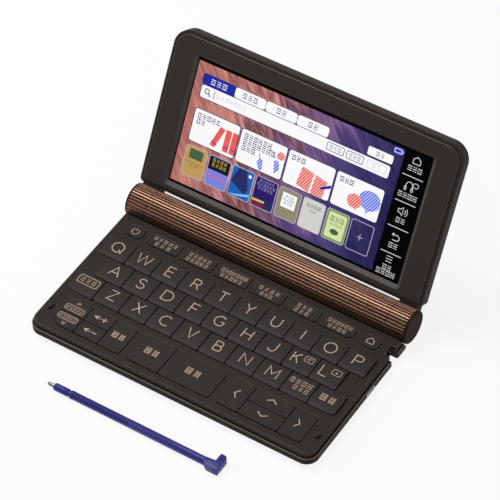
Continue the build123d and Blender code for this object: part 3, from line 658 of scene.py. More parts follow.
label_rows = [
    ((5, 2.6), (3, 3.1)), ((5, 2.4), (5, 2.4)), ((7, 2.0), (5, 2.35)),
    ((4, 2.85), (3, 2.2)), ((3, 2.75), (3, 2.75)), ((6, 2.1), (4, 2.4)),
]
for number, (upper, lower) in enumerate(label_rows):
    label = PadPrint()
    signs(label, -0.1, 1.4, *upper)
    signs(label, -0.1, -1.5, *lower)
    symbols["function_key_%d" % (number + 1)] = label

for node, print_on in symbols.items():
    clear = clear_front if node in ("key_shift", "key_space", "key_delete") else 0.0
    piece = print_on.printed("legend_" + node, key_face(node, clear), copper_ink)
    belongs(piece, node, "key_plastic")

# ---- hinge barrel, sleeves and battery door -------------------------------------------------------------------
# Ribbed mouldings with a satin copper coat, painted near black in the grooves as shade. The barrel is
# part of the base, the sleeves turn with the lid, and the door closes the barrel's rear.
hinge = next(joint for joint in frame["joints"] if joint["name"] == "lid_hinge")
hinge_place = Vector(hinge["pos_m"])
barrel_low, barrel_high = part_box("hinge_barrel")
barrel_radius = (barrel_high.z - hinge_place.z) / MM
barrel_half = barrel_high.x / MM
reed_count = 32
reed_depth = 0.45
reed_steps = 8
barrel_inside = 7.15
bay_half = 52.6
door_from, door_to = -85.0, -5.0
door_edge_gap = 1.0
door_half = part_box("battery_cover")[1].x / MM
along_hinge = Matrix.Translation(hinge_place) @ Matrix(((0, 0, 1, 0), (1, 0, 0, 0), (0, 1, 0, 0), (0, 0, 0, 1))) @ Matrix.Scale(MM, 4)


def reeded_points(first, last):
    """Crowned reeds along an arc about the hinge line, in degrees."""
    steps = max(int(round((last - first) * reed_count * reed_steps / 360)), 2)
    points = []
    for step in range(steps + 1):
        angle = first + (last - first) * step / steps
        across = (angle * reed_count / 360) % 1
        crown = sqrt(1 - abs(2 * across - 1) ** 3.6)
        radius = barrel_radius - reed_depth * (1 - crown)
        points.append((radius * cos(radians(angle)), radius * sin(radians(angle))))
    return points


def reeded_tube(work, start, end, first, last, inside):
    """A ribbed tube, or part of one, between two places along the hinge line."""
    if last - first > 359:
        outside = reeded_points(first, last)[:-1]
        inner = [(x * inside / hypot(x, y), y * inside / hypot(x, y)) for x, y in outside]
        rings = [
            [work.verts.new(along_hinge @ Vector((x, y, z))) for x, y in loop]
            for z in (start, end) for loop in (outside, inner)
        ]
        count = len(outside)
        for number in range(count):
            following = (number + 1) % count
            for one, other in ((0, 2), (1, 3), (0, 1), (2, 3)):
                work.faces.new((
                    rings[one][number], rings[one][following],
                    rings[other][following], rings[other][number],
                ))
    else:
        outside = reeded_points(first, last)
        inner = [(x * inside / hypot(x, y), y * inside / hypot(x, y)) for x, y in reversed(outside)]
        prism(work, outside + inner, start, end, along_hinge)


def copper_coat(name):
    """Satin copper metallic coat, painted near black at the bottom of each groove as shade."""
    coat = bpy.data.materials.new(name)
    coat.use_nodes = True
    tree = coat.node_tree
    surface = tree.nodes["Principled BSDF"]
    place = tree.nodes.new("ShaderNodeTexCoord")
    split = tree.nodes.new("ShaderNodeSeparateXYZ")
    tree.links.new(place.outputs["Object"], split.inputs["Vector"])
    squares = []
    for axis, middle in (("Y", hinge_place.y), ("Z", hinge_place.z)):
        offset = tree.nodes.new("ShaderNodeMath")
        offset.operation = "SUBTRACT"
        offset.inputs[1].default_value = middle
        tree.links.new(split.outputs[axis], offset.inputs[0])
        square = tree.nodes.new("ShaderNodeMath")
        square.operation = "POWER"
        square.inputs[1].default_value = 2
        tree.links.new(offset.outputs["Value"], square.inputs[0])
        squares.append(square)
    total = tree.nodes.new("ShaderNodeMath")
    tree.links.new(squares[0].outputs["Value"], total.inputs[0])
    tree.links.new(squares[1].outputs["Value"], total.inputs[1])
    root = tree.nodes.new("ShaderNodeMath")
    root.operation = "SQRT"
    tree.links.new(total.outputs["Value"], root.inputs[0])
    depth = tree.nodes.new("ShaderNodeMapRange")
    depth.inputs["From Min"].default_value = (barrel_radius - 0.8 * reed_depth) * MM
    depth.inputs["From Max"].default_value = (barrel_radius - 0.15 * reed_depth) * MM
    tree.links.new(root.outputs["Value"], depth.inputs["Value"])
    flake = tree.nodes.new("ShaderNodeTexNoise")
    flake.inputs["Scale"].default_value = 3500
    tree.links.new(place.outputs["Object"], flake.inputs["Vector"])
    sparkle = tree.nodes.new("ShaderNodeMix")
    sparkle.data_type = "RGBA"
    sparkle.inputs["A"].default_value = (0.140, 0.071, 0.044, 1)
    sparkle.inputs["B"].default_value = (0.205, 0.116, 0.078, 1)
    tree.links.new(flake.outputs["Fac"], sparkle.inputs["Factor"])
    # Towards the groove bottoms the colour fades to near black: painted shade.
    groove_shade = tree.nodes.new("ShaderNodeMix")
    groove_shade.data_type = "RGBA"
    groove_shade.inputs["A"].default_value = (0.018, 0.008, 0.005, 1)
    tree.links.new(depth.outputs["Result"], groove_shade.inputs["Factor"])
    tree.links.new(sparkle.outputs["Result"], groove_shade.inputs["B"])
    tree.links.new(groove_shade.outputs["Result"], surface.inputs["Base Color"])
    surface.inputs["Metallic"].default_value = 1.0
    surface.inputs["Roughness"].default_value = 0.3
    return coat


copper = copper_coat("copper_coat")
barrel_work = bmesh.new()
for side in (-1, 1):
    ends = sorted((side * bay_half, side * barrel_half))
    reeded_tube(barrel_work, *ends, 0, 360, 2.6)
    ends = sorted((side * (door_half + 0.15), side * bay_half))
    reeded_tube(barrel_work, *ends, 0, 360, barrel_inside)
reeded_tube(
    barrel_work, -door_half - 0.15, door_half + 0.15,
    door_to + door_edge_gap, door_from - door_edge_gap + 360, barrel_inside,
)
barrel = finished(barrel_work, "barrel_shell", copper, 60)
belongs(barrel, "base", "copper_coat", "hinge_barrel")
door_work = bmesh.new()
reeded_tube(door_work, -door_half, door_half, door_from, door_to, barrel_inside)
door = finished(door_work, "door_shell", copper, 60)
belongs(door, "battery_door", "copper_coat", "battery_cover")

sleeve_low, sleeve_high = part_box("hinge_sleeves")
cap_thickness = 1.2
sleeve_start = 63.4
sleeve_end = sleeve_high.x / MM - cap_thickness
sleeve_work = bmesh.new()
for side in (-1, 1):
    ends = sorted((side * sleeve_start, side * sleeve_end))
    reeded_tube(sleeve_work, *ends, 0, 360, 7.0)
sleeves = finished(sleeve_work, "sleeve_shells", copper, 60)
belongs(sleeves, "lid", "copper_coat", "hinge_sleeves")

# ---- end caps -----------------------------------------------------------------------------------------------
# Flat brown plastic discs that close the ends of the sleeves, with a small turned edge.
# They are pressed on and turn with the lid.
cap_profile = [
    (0, 1.1), (7.35, 1.1), (7.45, 1.2), (7.6, 1.2), (7.8, 1.05), (7.9, 0.7), (7.9, 0), (0, 0),
]


def turned(work, profile, place, steps=56):
    """A solid turned about its own line from (radius, height) points."""
    rings = []
    for radius, height in profile:
        if radius == 0:
            rings.append([work.verts.new(place @ Vector((0, 0, height)))])
        else:
            circle = arc(0, 0, radius, radius, 0, 360, steps)[:-1]
            rings.append([work.verts.new(place @ Vector((x, y, height))) for x, y in circle])
    for ring, following in zip(rings, rings[1:]):
        for number in range(steps):
            after = (number + 1) % steps
            if len(ring) == 1 and len(following) > 1:
                work.faces.new((ring[0], following[number], following[after]))
            elif len(following) == 1 and len(ring) > 1:
                work.faces.new((ring[number], following[0], ring[after]))
            elif len(ring) > 1:
                work.faces.new((ring[number], following[number], following[after], ring[after]))


cap_work = bmesh.new()
for side in (-1, 1):
    end = Matrix.Translation(hinge_place + Vector((side * sleeve_end * MM, 0, 0)))
    facing = Matrix.Rotation(side * pi / 2, 4, "Y")
    turned(cap_work, cap_profile, end @ facing @ Matrix.Scale(MM, 4))
cap_plastic = moulded_plastic("cap_plastic", (0.0360, 0.0200, 0.0150), 0.55, shine=0.03)
caps = finished(cap_work, "sleeve_end_caps", cap_plastic, 35)
belongs(caps, "lid", "case_plastic")

# ---- cells -----------------------------------------------------------------------------------------------------
# Two drawn steel cans with a printed film and a raised contact at one end. They lie end to
# end in the barrel, behind its door.
cells = frame["nodes"]["batteries"]
cells.data.materials.clear()
cells.data.materials.append(bare_metal("cell_metal", (0.42, 0.44, 0.5), 0.34))

# ---- lid cover and knuckles ---------------------------------------------------------------------------------------
# The lid's back is one deep moulding with rounded shoulders. Two die-cast knuckles are
# fixed inside its lower corners and turn in the ends of the barrel.
cover_plastic = moulded_plastic("cover_plastic", (0.0400, 0.0310, 0.0270), 0.5, shine=0.07)
cover = softened("lid_cover", cover_plastic, 0.16)
belongs(cover, "lid", "case_plastic", "lid_cover")
knuckle_metal = bare_metal("hinge_metal", (0.05, 0.045, 0.042), 0.45)
knuckles = softened("hinge_knuckles", knuckle_metal, 0.12)
belongs(knuckles, "lid", "hinge_metal", "hinge_knuckles")

lid_angle = radians(119)

# ---- lid bezel -----------------------------------------------------------------------------------------------------
# The front frame around the display: the same brown plastic, with a sloped lip round the
# window. It is clipped into the cover, inside its rim.
bezel_plastic = moulded_plastic("bezel_plastic", (0.0380, 0.0300, 0.0262), 0.34, shine=0.26)
bezel = softened("lid_bezel", bezel_plastic, 0.1)
# The sloped lip round the window gets a lighter, glossier plastic: a painted highlight.
window_slope_highlight = moulded_plastic("window_slope_highlight", (0.080, 0.070, 0.063), 0.4, shine=0.3)
bezel.data.materials.append(window_slope_highlight)
lid_front = Vector((0, -sin(lid_angle), -cos(lid_angle)))
for face in bezel.data.polygons:
    if 0.3 < face.normal.dot(lid_front) < 0.93:
        face.material_index = 1
belongs(bezel, "lid", "bezel_plastic", "lid_bezel")

# ---- display glass ----------------------------------------------------------------------------------------------------
# A sheet of hardened glass, black behind, over the liquid crystal module. The picture and
# the touch strip show through it.
lid_setback = -0.37
glass_depth = 1.3
lid_face = Matrix.Translation(hinge_place) @ Matrix((
    (1, 0, 0, 0),
    (0, -cos(lid_angle), -sin(lid_angle), 0),
    (0, sin(lid_angle), -cos(lid_angle), 0),
    (0, 0, 0, 1),
)) @ Matrix.Scale(MM, 4) @ Matrix.Translation((0, 0, lid_setback - glass_depth))


def black_glass(name):
    """Glass with its back printed black: deep gloss and a faint smear of handling."""
    glass = bpy.data.materials.new(name)
    glass.use_nodes = True
    tree = glass.node_tree
    surface = tree.nodes["Principled BSDF"]
    surface.inputs["Base Color"].default_value = (0.0012, 0.0012, 0.0015, 1)
    surface.inputs["Specular IOR Level"].default_value = 0.06
    place = tree.nodes.new("ShaderNodeTexCoord")
    smear = tree.nodes.new("ShaderNodeTexNoise")
    smear.inputs["Scale"].default_value = 45
    smear.inputs["Detail"].default_value = 5
    tree.links.new(place.outputs["Object"], smear.inputs["Vector"])
    gloss = tree.nodes.new("ShaderNodeMapRange")
    gloss.inputs["To Min"].default_value = 0.07
    gloss.inputs["To Max"].default_value = 0.16
    tree.links.new(smear.outputs["Fac"], gloss.inputs["Value"])
    tree.links.new(gloss.outputs["Result"], surface.inputs["Roughness"])
    return glass


panel = frame["nodes"]["display_panel"]
panel.data.materials.clear()
panel.data.materials.append(black_glass("display_glass"))

# ---- picture on the display ----------------------------------------------------------------------------------------------
# The lit picture: streaks of rose and violet with white tabs, cards and tiles on them. Each
# is a layer of light a few hundredths of a millimetre above the glass.
picture_left, picture_right = -59.8, 46.7
picture_low, picture_high = 16.0, 74.3
board_low, board_high = 58.3, 64.2
tab_low, tab_high = 64.5, 69.3
card_low, card_high = 37.1, 52.7
card_left, card_width, card_pitch = -55.7, 23.7, 24.87
tile_low, tile_high = 20.7, 34.9
tile_left, tile_width, tile_pitch = -55.5, 11.25, 12.42


def lit(name, colour, strength=1.0):
    """A lit patch of the display under its glass."""
    light = bpy.data.materials.new(name)
    light.use_nodes = True
    surface = light.node_tree.nodes["Principled BSDF"]
    surface.inputs["Base Color"].default_value = (0.004, 0.004, 0.004, 1)
    surface.inputs["Roughness"].default_value = 0.18
    surface.inputs["Specular IOR Level"].default_value = 0.1
    surface.inputs["Emission Color"].default_value = (*colour, 1)
    surface.inputs["Emission Strength"].default_value = strength
    return light


def sunset_streaks(name):
    """The backdrop of the picture: bent streaks from rose through violet to indigo."""
    backdrop = lit(name, (0, 0, 0))
    tree = backdrop.node_tree
    surface = tree.nodes["Principled BSDF"]

    def worked_out(operation, first, second=None, third=None):
        node = tree.nodes.new("ShaderNodeMath")
        node.operation = operation
        for slot_number, value in enumerate((first, second, third)):
            if isinstance(value, (int, float)):
                node.inputs[slot_number].default_value = value
            elif value is not None:
                tree.links.new(value, node.inputs[slot_number])
        return node.outputs["Value"]

    def noise(across, along, turn, detail):
        turned_place = tree.nodes.new("ShaderNodeMapping")
        turned_place.inputs["Rotation"].default_value = (0, 0, radians(turn))
        tree.links.new(joined.outputs["Vector"], turned_place.inputs["Vector"])
        bend = tree.nodes.new("ShaderNodeMapping")
        bend.inputs["Scale"].default_value = (across, along, 1)
        tree.links.new(turned_place.outputs["Vector"], bend.inputs["Vector"])
        cloud = tree.nodes.new("ShaderNodeTexNoise")
        cloud.inputs["Scale"].default_value = 1.0
        cloud.inputs["Detail"].default_value = detail
        tree.links.new(bend.outputs["Vector"], cloud.inputs["Vector"])
        return cloud.outputs["Fac"]

    place = tree.nodes.new("ShaderNodeTexCoord")
    flat = tree.nodes.new("ShaderNodeSeparateXYZ")
    joined = tree.nodes.new("ShaderNodeCombineXYZ")
    tree.links.new(place.outputs["Generated"], flat.inputs["Vector"])
    across = worked_out("MULTIPLY", flat.outputs["X"], 1.83)
    tree.links.new(across, joined.inputs["X"])
    tree.links.new(flat.outputs["Z"], joined.inputs["Y"])
    leaned = worked_out("MULTIPLY_ADD", flat.outputs["Z"], -0.10, flat.outputs["X"])
    swept = worked_out("MULTIPLY_ADD", noise(1.6, 7.5, 42, 5), 0.62, leaned)
    fine = worked_out("MULTIPLY_ADD", noise(3.0, 34.0, 50, 4), 0.12, swept)
    placed = worked_out("MULTIPLY", worked_out("SUBTRACT", fine, 0.07), 0.82)
    ramp = tree.nodes.new("ShaderNodeValToRGB")
    stops = [
        (0.22, (0.42, 0.15, 0.13)), (0.31, (0.58, 0.24, 0.20)), (0.37, (0.30, 0.10, 0.10)),
        (0.43, (0.56, 0.27, 0.26)), (0.48, (0.17, 0.055, 0.065)), (0.54, (0.36, 0.17, 0.20)),
        (0.60, (0.13, 0.055, 0.09)), (0.67, (0.22, 0.12, 0.26)), (0.74, (0.085, 0.055, 0.18)),
        (0.84, (0.05, 0.04, 0.15)), (1.0, (0.018, 0.015, 0.085)),
    ]
    for number, (where, colour) in enumerate(stops):
        stop = ramp.color_ramp.elements[number] if number < 2 else ramp.color_ramp.elements.new(where)
        stop.position = where
        stop.color = (*colour, 1)
    tree.links.new(placed, ramp.inputs["Fac"])
    threads = worked_out("MULTIPLY_ADD", noise(3.0, 40.0, 50, 4), 1.5, 0.25)
    tree.links.new(threads, surface.inputs["Emission Strength"])
    tree.links.new(ramp.outputs["Color"], surface.inputs["Emission Color"])
    return backdrop


backdrop_print = PadPrint(0.01, 0.002)
backdrop_print.patch([
    (picture_left, picture_low), (picture_right, picture_low),
    (picture_right, picture_high), (picture_left, picture_high),
])
backdrop = backdrop_print.printed("picture_backdrop", lid_face, sunset_streaks("sunset_streaks"))
belongs(backdrop, "lid", "display_glass")


def shown(name, print_on, light):
    """A layer of the picture on the display."""
    piece = print_on.printed(name, lid_face, light)
    return belongs(piece, "lid", "display_glass")


white_light = lit("white_light", (0.95, 0.95, 0.97))
navy_light = lit("navy_light", (0.02, 0.022, 0.12))
blue_light = lit("blue_light", (0.012, 0.02, 0.36))
pale_light = lit("pale_light", (0.6, 0.6, 0.66))
card_edges = [(card_left + card_pitch * n, card_left + card_pitch * n + card_width) for n in range(4)]

shadows = PadPrint(0.01, 0.014)
for left, right in card_edges:
    shadows.patch(rounded(left - 0.35, card_low - 0.4, right + 0.35, card_high + 0.3, 1.3))
shadows.patch(rounded(-56.0, board_low - 0.35, 42.5, board_high + 0.4, 1.3))
shadows.patch(rounded(-56.2, tab_low, -38.8, tab_high + 0.35, 1.3))
shown("picture_board_shadows", shadows, navy_light)

boards = PadPrint(0.01, 0.026)
tab_edges = [(-39.0, -23.0), (-22.7, -6.7), (-6.4, 9.7)]
for left, right in tab_edges:
    boards.patch(rounded(left, tab_low, right, tab_high, 1.2))
boards.patch(rounded(-55.6, board_low, 42.1, board_high, 1.1))
boards.patch(rounded(29.7, 65.2, 42.3, 69.2, 0.7))
for left, right in card_edges:
    boards.patch(rounded(left, card_low, right, card_high, 1.1))
shown("picture_white_boards", boards, white_light)

blue_tab = PadPrint(0.01, 0.028)
blue_tab.patch(rounded(-55.8, tab_low, -39.2, tab_high, 1.2))
shown("picture_blue_tab", blue_tab, blue_light)

marks = PadPrint(0.01, 0.044)
marks.line(arc(-52.5, 61.8, 1.15, 1.15, 0, 340, 17), 0.42, closed=True)
marks.line([(-51.65, 60.95), (-50.5, 59.8)], 0.5)
marks.line([(-48.7, 59.4), (-48.7, 63.2)], 0.3)
for left, right in ((10.5, 19.1), (20.5, 28.9)):
    marks.line(rounded(left, 59.6, right, 63.2, 0.6), 0.32, closed=True)
    signs(marks, (left + right) / 2, 61.4, 3, 2.1, 1.7)
for (left, right), count in zip(tab_edges, (3, 2, 2)):
    signs(marks, (left + right) / 2, 66.9, count, 2.8, 2.4, 0.2)
signs(marks, 36.0, 67.2, 2, 2.4, 2.0)
for left, rows in zip(card_edges, ((5, 2), (6, 7, 3), (3,), (3,))):
    for row, count in enumerate(rows):
        signs(marks, left[0] + 1.6 + count * 1.2, 49.9 - row * 2.85, count, 2.45, 2.2, 0.2)
shown("picture_navy_marks", marks, navy_light)

tab_text = PadPrint(0.01, 0.044)
signs(tab_text, -47.5, 66.9, 3, 3.0, 2.5, 0.19)
shown("picture_tab_signs", tab_text, white_light)

faint = PadPrint(0.01, 0.044)
signs(faint, -39.6, 61.4, 7, 2.3, 1.8)
faint.line(rounded(31.0, 59.6, 40.4, 63.2, 0.6), 0.28, closed=True)
signs(faint, 35.7, 61.4, 2, 2.4, 1.8)
shown("picture_faint_signs", faint, pale_light)

battery_mark = PadPrint(0.01, 0.02)
battery_mark.patch(rounded(41.5, 71.1, 45.7, 73.6, 0.6))
battery_mark.patch([(45.9, 71.75), (46.25, 71.75), (46.25, 72.95), (45.9, 72.95)])
shown("picture_battery_mark", battery_mark, lit("battery_light", (0.42, 0.45, 0.92)))
charge = PadPrint(0.01, 0.034)
charge.patch(rounded(42.2, 71.8, 44.9, 72.9, 0.3))
shown("picture_battery_charge", charge, blue_light)

# striped emblems on the four cards: upright bars, two kites on strings, open leaves, bubbles
salmon_light = lit("salmon_light", (0.80, 0.115, 0.095))
stripe_light = lit("stripe_light", (0.10, 0.17, 0.80))
salmon_stripe = lit("salmon_stripe", (0.96, 0.64, 0.60))
blue_stripe = lit("blue_stripe", (0.68, 0.74, 0.97))


def clipped_stripes(print_on, outline, pitch, width, slant):
    """Slanted stripes inside a convex outline."""
    for band in range(-40, 61):
        kept = list(outline)
        for sign in (1, -1):
            limit = band * pitch + sign * width / 2
            cut = []
            for number, point in enumerate(kept):
                following = kept[(number + 1) % len(kept)]
                here = sign * (point[0] + slant * point[1] - limit)
                there = sign * (following[0] + slant * following[1] - limit)
                if here <= 0:
                    cut.append(point)
                if here * there < 0:
                    part = here / (here - there)
                    cut.append((
                        point[0] + part * (following[0] - point[0]),
                        point[1] + part * (following[1] - point[1]),
                    ))
            kept = cut
            if len(kept) < 3:
                break
        if len(kept) >= 3:
            print_on.patch(kept)


salmon_shapes, blue_shapes = PadPrint(0.01, 0.036), PadPrint(0.01, 0.038)
salmon_stripes, blue_stripes = PadPrint(0.008, 0.052), PadPrint(0.008, 0.052)
emblems = [
    ("salmon", [(-44.9, 39.0), (-42.3, 38.4), (-38.8, 48.3), (-41.5, 49.0)]),
    ("salmon", [(-38.3, 38.4), (-35.3, 38.4), (-35.3, 48.8), (-38.3, 48.8)]),
    ("salmon", [(-34.8, 38.4), (-32.0, 38.4), (-32.0, 48.8), (-34.8, 48.8)]),
    ("blue", [(-20.2, 40.4), (-18.2, 37.2), (-16.8, 38.2), (-17.6, 42.4), (-19.2, 42.6)]),
    ("blue", [(-12.2, 44.2), (-10.9, 38.8), (-8.7, 41.2), (-9.6, 44.6), (-11.0, 45.2)]),
    ("salmon", arc(-9.4, 47.6, 2.0, 1.9, 0, 345, 23)),
    ("salmon", [(0.8, 38.6), (7.5, 37.2), (8.3, 46.6), (2.0, 47.6)]),
    ("salmon", [(8.4, 37.2), (14.6, 37.2), (15.6, 45.2), (9.2, 46.5)]),
    ("blue", arc(37.0, 45.4, 5.4, 4.6, 0, 345, 23)),
    ("blue", [(35.9, 42.0), (36.4, 39.0), (38.6, 41.6)]),
    ("salmon", arc(29.9, 42.6, 3.6, 3.3, 0, 345, 23)),
    ("salmon", [(29.4, 40.2), (31.6, 38.6), (31.9, 41.0)]),
]
for colour, outline in emblems:
    shapes, stripes = (salmon_shapes, salmon_stripes) if colour == "salmon" else (blue_shapes, blue_stripes)
    shapes.patch(outline)
    clipped_stripes(stripes, outline, 1.25, 0.4, -0.6)
shown("picture_salmon_emblems", salmon_shapes, salmon_light)
shown("picture_blue_emblems", blue_shapes, stripe_light)
shown("picture_salmon_stripes", salmon_stripes, salmon_stripe)
shown("picture_blue_stripes", blue_stripes, blue_stripe)
details = PadPrint(0.008, 0.064)
details.line([(-44.6, 40.9), (-41.4, 39.9)], 0.4)
details.line([(-38.3, 40.5), (-35.3, 40.5)], 0.4)
details.line([(-34.8, 40.5), (-32.0, 40.5)], 0.4)
details.line([(-19.6, 45.0), (-19.8, 43.6), (-18.6, 42.4)], 0.35)
details.line([(-15.6, 48.6), (-13.2, 47.8), (-11.8, 45.6)], 0.35)
details.patch([(12.3, 41.6), (13.0, 40.9), (17.6, 43.2), (17.6, 44.9)])
shown("picture_navy_details", details, blue_light)

# the row of tiles below the cards, each a plain cover of its own with a pale edge
tile_grounds = [
    (0.50, 0.32, 0.10), (0.19, 0.22, 0.70), (0.012, 0.12, 0.46), (0.022, 0.008, 0.13),
    (0.27, 0.25, 0.16), (0.64, 0.64, 0.60), (0.20, 0.31, 0.10),
]
black_light = lit("black_light", (0.006, 0.006, 0.010))
gold_light = lit("gold_light", (0.72, 0.52, 0.10))
green_light = lit("green_light", (0.06, 0.12, 0.05))
lime_light = lit("lime_light", (0.66, 0.76, 0.38))
sky_light = lit("sky_light", (0.25, 0.55, 0.92))
plum_light = lit("plum_light", (0.20, 0.012, 0.05))
lilac_light = lit("lilac_light", (0.40, 0.34, 0.62))
tile_spans = [(tile_left + tile_pitch * n, tile_left + tile_pitch * n + tile_width) for n in range(8)]
for number, ground in enumerate(tile_grounds):
    left, right = tile_spans[number]
    cover_print = PadPrint(0.01, 0.016)
    cover_print.patch(rounded(left, tile_low, right, tile_high, 1.0))
    shown("picture_tile_%d" % (number + 1), cover_print, lit("tile_light_%d" % (number + 1), ground))
edges = PadPrint(0.01, 0.052)
for left, right in tile_spans:
    edges.line(rounded(left, tile_low, right, tile_high, 1.0), 0.3, closed=True)
plus_x, plus_y = sum(tile_spans[7]) / 2, (tile_low + tile_high) / 2
edges.line([(plus_x, plus_y - 1.5), (plus_x, plus_y + 1.5)], 0.34)
edges.line([(plus_x - 1.5, plus_y), (plus_x + 1.5, plus_y)], 0.34)
shown("picture_tile_edges", edges, lit("edge_light", (0.50, 0.46, 0.58)))

tile_middles = [(left + right) / 2 for left, right in tile_spans]
covers = {name: PadPrint(0.01, 0.03) for name in ("green", "black", "white", "lime", "sky", "plum", "navy")}
figures = {name: PadPrint(0.01, 0.042) for name in ("gold", "lilac", "black", "red", "green", "white")}
left, right = tile_spans[0]
covers["green"].patch(rounded(left + 2.1, 29.2, right - 2.1, 33.8, 0.3))
covers["black"].line([(left + 0.8, 27.4), (right - 0.8, 27.4)], 0.16)
signs(figures["black"], tile_middles[0], 26.0, 3, 1.5, 1.0)
left, right = tile_spans[1]
covers["black"].patch([(left + 0.2, 28.2), (right - 0.2, 28.2), (right - 0.2, 34.5), (left + 0.2, 34.5)])
signs(figures["gold"], tile_middles[1], 33.0, 4, 2.0, 1.5)
signs(figures["gold"], tile_middles[1], 30.7, 4, 2.0, 1.5)
signs(figures["red"], tile_middles[1], 25.2, 5, 1.8, 1.6)
left, right = tile_spans[2]
covers["navy"].patch([(left + 0.3, 27.5), (left + 3.2, 34.5), (right - 4.0, 34.5), (right - 1.6, 26.0), (right - 3.0, 23.4)])
covers["sky"].patch([(left + 0.5, 21.4), (left + 4.5, 22.2), (right - 0.4, 24.2), (right - 0.4, 23.2), (left + 4.5, 21.4)])
figures["white"].patch(arc(right - 1.9, 32.6, 0.8, 0.8, 0, 330, 11))
left, right = tile_spans[3]
covers["plum"].patch([(left + 0.4, 21.1), (right - 4.6, 21.1), (right - 4.6, 22.8), (left + 0.4, 22.8)])
covers["navy"].patch([(right - 4.2, 21.1), (right - 0.4, 21.1), (right - 0.4, 25.2), (right - 4.2, 25.2)])
for row, count in enumerate((5, 6, 5)):
    signs(figures["lilac"], tile_middles[3], 33.3 - 1.75 * row, count, 1.6, 1.2)
figures["gold"].line([(left + 0.4, 23.7), (right - 4.6, 23.9)], 1.0)
left, right = tile_spans[4]
covers["white"].patch([(left + 2.0, 26.0), (right - 2.0, 26.0), (right - 2.0, 32.9), (left + 2.0, 32.9)])
for row, count in enumerate((3, 4, 3)):
    signs(figures["black"], tile_middles[4], 31.4 - 1.6 * row, count, 1.5, 1.15)
signs(figures["black"], tile_middles[5], 32.0, 4, 1.9, 1.6)
signs(figures["black"], tile_middles[5], 29.6, 3, 1.2, 0.9)
left, right = tile_spans[6]
covers["lime"].patch(rounded(left + 1.1, tile_low + 1.1, right - 1.1, tile_high - 1.1, 0.8))
signs(figures["black"], tile_middles[6], 31.0, 3, 2.4, 2.1)
signs(figures["green"], tile_middles[6], 28.4, 5, 1.3, 1.1)
figures["green"].patch(arc(tile_middles[6], 25.0, 2.2, 1.3, 0, 345, 23))
cover_lights = {
    "green": green_light, "black": black_light, "white": white_light, "lime": lime_light,
    "sky": sky_light, "plum": plum_light, "navy": navy_light,
}
figure_lights = {
    "gold": gold_light, "lilac": lilac_light, "black": black_light, "red": salmon_light,
    "green": green_light, "white": white_light,
}
for name, print_on in covers.items():
    shown("picture_cover_" + name, print_on, cover_lights[name])
for name, print_on in figures.items():
    shown("picture_figure_" + name, print_on, figure_lights[name])

# ---- touch strip ---------------------------------------------------------------------------------------------------------
# Five touch keys beside the picture, printed in pale grey on the back of the same glass:
# line symbols with short bars below, and thin rules between them.
strip_print = PadPrint(0.012, 0.004)
strip_middle = 53.2
rule_half = 5.15
for height in (63.75, 51.45, 39.2, 27.0):
    strip_print.line([(strip_middle - rule_half, height), (strip_middle + rule_half, height)], 0.38)
x, y = strip_middle, 71.5
strip_print.line([(x - 1.8, y + 0.3), (x, y + 1.7), (x + 1.8, y + 0.3), (x + 1.8, y - 1.6), (x - 1.8, y - 1.6)],
                 0.36, closed=True)
y = 59.3
strip_print.line([(x - 2.0, y - 1.2)] + arc(x - 0.4, y + 0.1, 1.6, 1.9, 180, 0, 12) + [(x + 1.2, y - 1.2)], 0.36)
strip_print.line(rounded(x - 2.5, y - 2.2, x - 1.6, y - 0.5, 0.4), 0.32, closed=True)
strip_print.line(rounded(x + 0.8, y - 2.2, x + 1.7, y - 0.5, 0.4), 0.32, closed=True)
strip_print.line(rounded(x + 1.3, y + 0.2, x + 3.9, y + 2.2, 0.9), 0.32, closed=True)
y = 47.2
strip_print.line([(x - 2.2, y - 0.8), (x - 1.2, y - 0.8), (x + 0.0, y - 1.9), (x + 0.0, y + 1.9),
                  (x - 1.2, y + 0.8), (x - 2.2, y + 0.8)], 0.36, closed=True)
strip_print.line(arc(x + 0.0, y, 1.3, 1.3, -50, 50, 6), 0.32)
strip_print.line(arc(x + 0.0, y, 2.3, 2.3, -50, 50, 8), 0.32)
y = 35.0
strip_print.line([(x - 1.0, y + 0.8), (x + 0.7, y + 0.8)] + arc(x + 0.7, y - 0.45, 1.25, 1.25, 90, -90, 10)
                 + [(x - 1.3, y - 1.7)], 0.38)
strip_print.patch(arrow_head(x - 0.9, y + 0.8, -1, 0, 1.15))
y = 24.1
for row in (-1, 0, 1):
    strip_print.line([(x - 1.5, y + row * 1.25), (x + 1.5, y + row * 1.25)], 0.32)
for height, count in ((67.4, 3), (54.7, 4), (42.9, 2), (30.7, 2), (20.1, 2), (17.5, 4)):
    signs(strip_print, strip_middle, height, count, 2.45, 2.3, 0.17)
shown("touch_strip_print", strip_print, lit("strip_light", (0.6, 0.6, 0.62)))

# ---- stylus -----------------------------------------------------------------------------------------------------------------
# A stick of indigo plastic with a finely ringed grip, a turned collar that holds a bright
# metal tip, and a hooked head to pull it out of its silo by. It lies on the table.
stylus_low, stylus_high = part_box("stylus")
stylus_radius = 1.95
head_thickness, head_leg, head_heel, head_ramp = 3.5, 5.9, 2.9, 4.5
stylus_length = (stylus_high.x - stylus_low.x) / MM - head_thickness
stylus_axis = Vector((
    stylus_high.x - head_thickness * MM, stylus_low.y + head_heel * MM, stylus_radius * MM,
))
stylus_plastic = moulded_plastic("stylus_plastic", (0.032, 0.030, 0.24), 0.32, grain=0.004, shine=0.3)
shaft_profile = [(0, -0.5), (stylus_radius, -0.5)]
grip_from, grip_to, ring_pitch = 43.0, 73.3, 1.15
shaft_profile.append((stylus_radius, grip_from))
rings = int((grip_to - grip_from) / ring_pitch)
for ring in range(rings):
    at = grip_from + ring * ring_pitch
    shaft_profile += [
        (stylus_radius - 0.08, at + 0.1), (stylus_radius - 0.32, at + 0.25),
        (stylus_radius - 0.32, at + 0.5), (stylus_radius - 0.08, at + 0.68),
        (stylus_radius, at + 0.8),
    ]
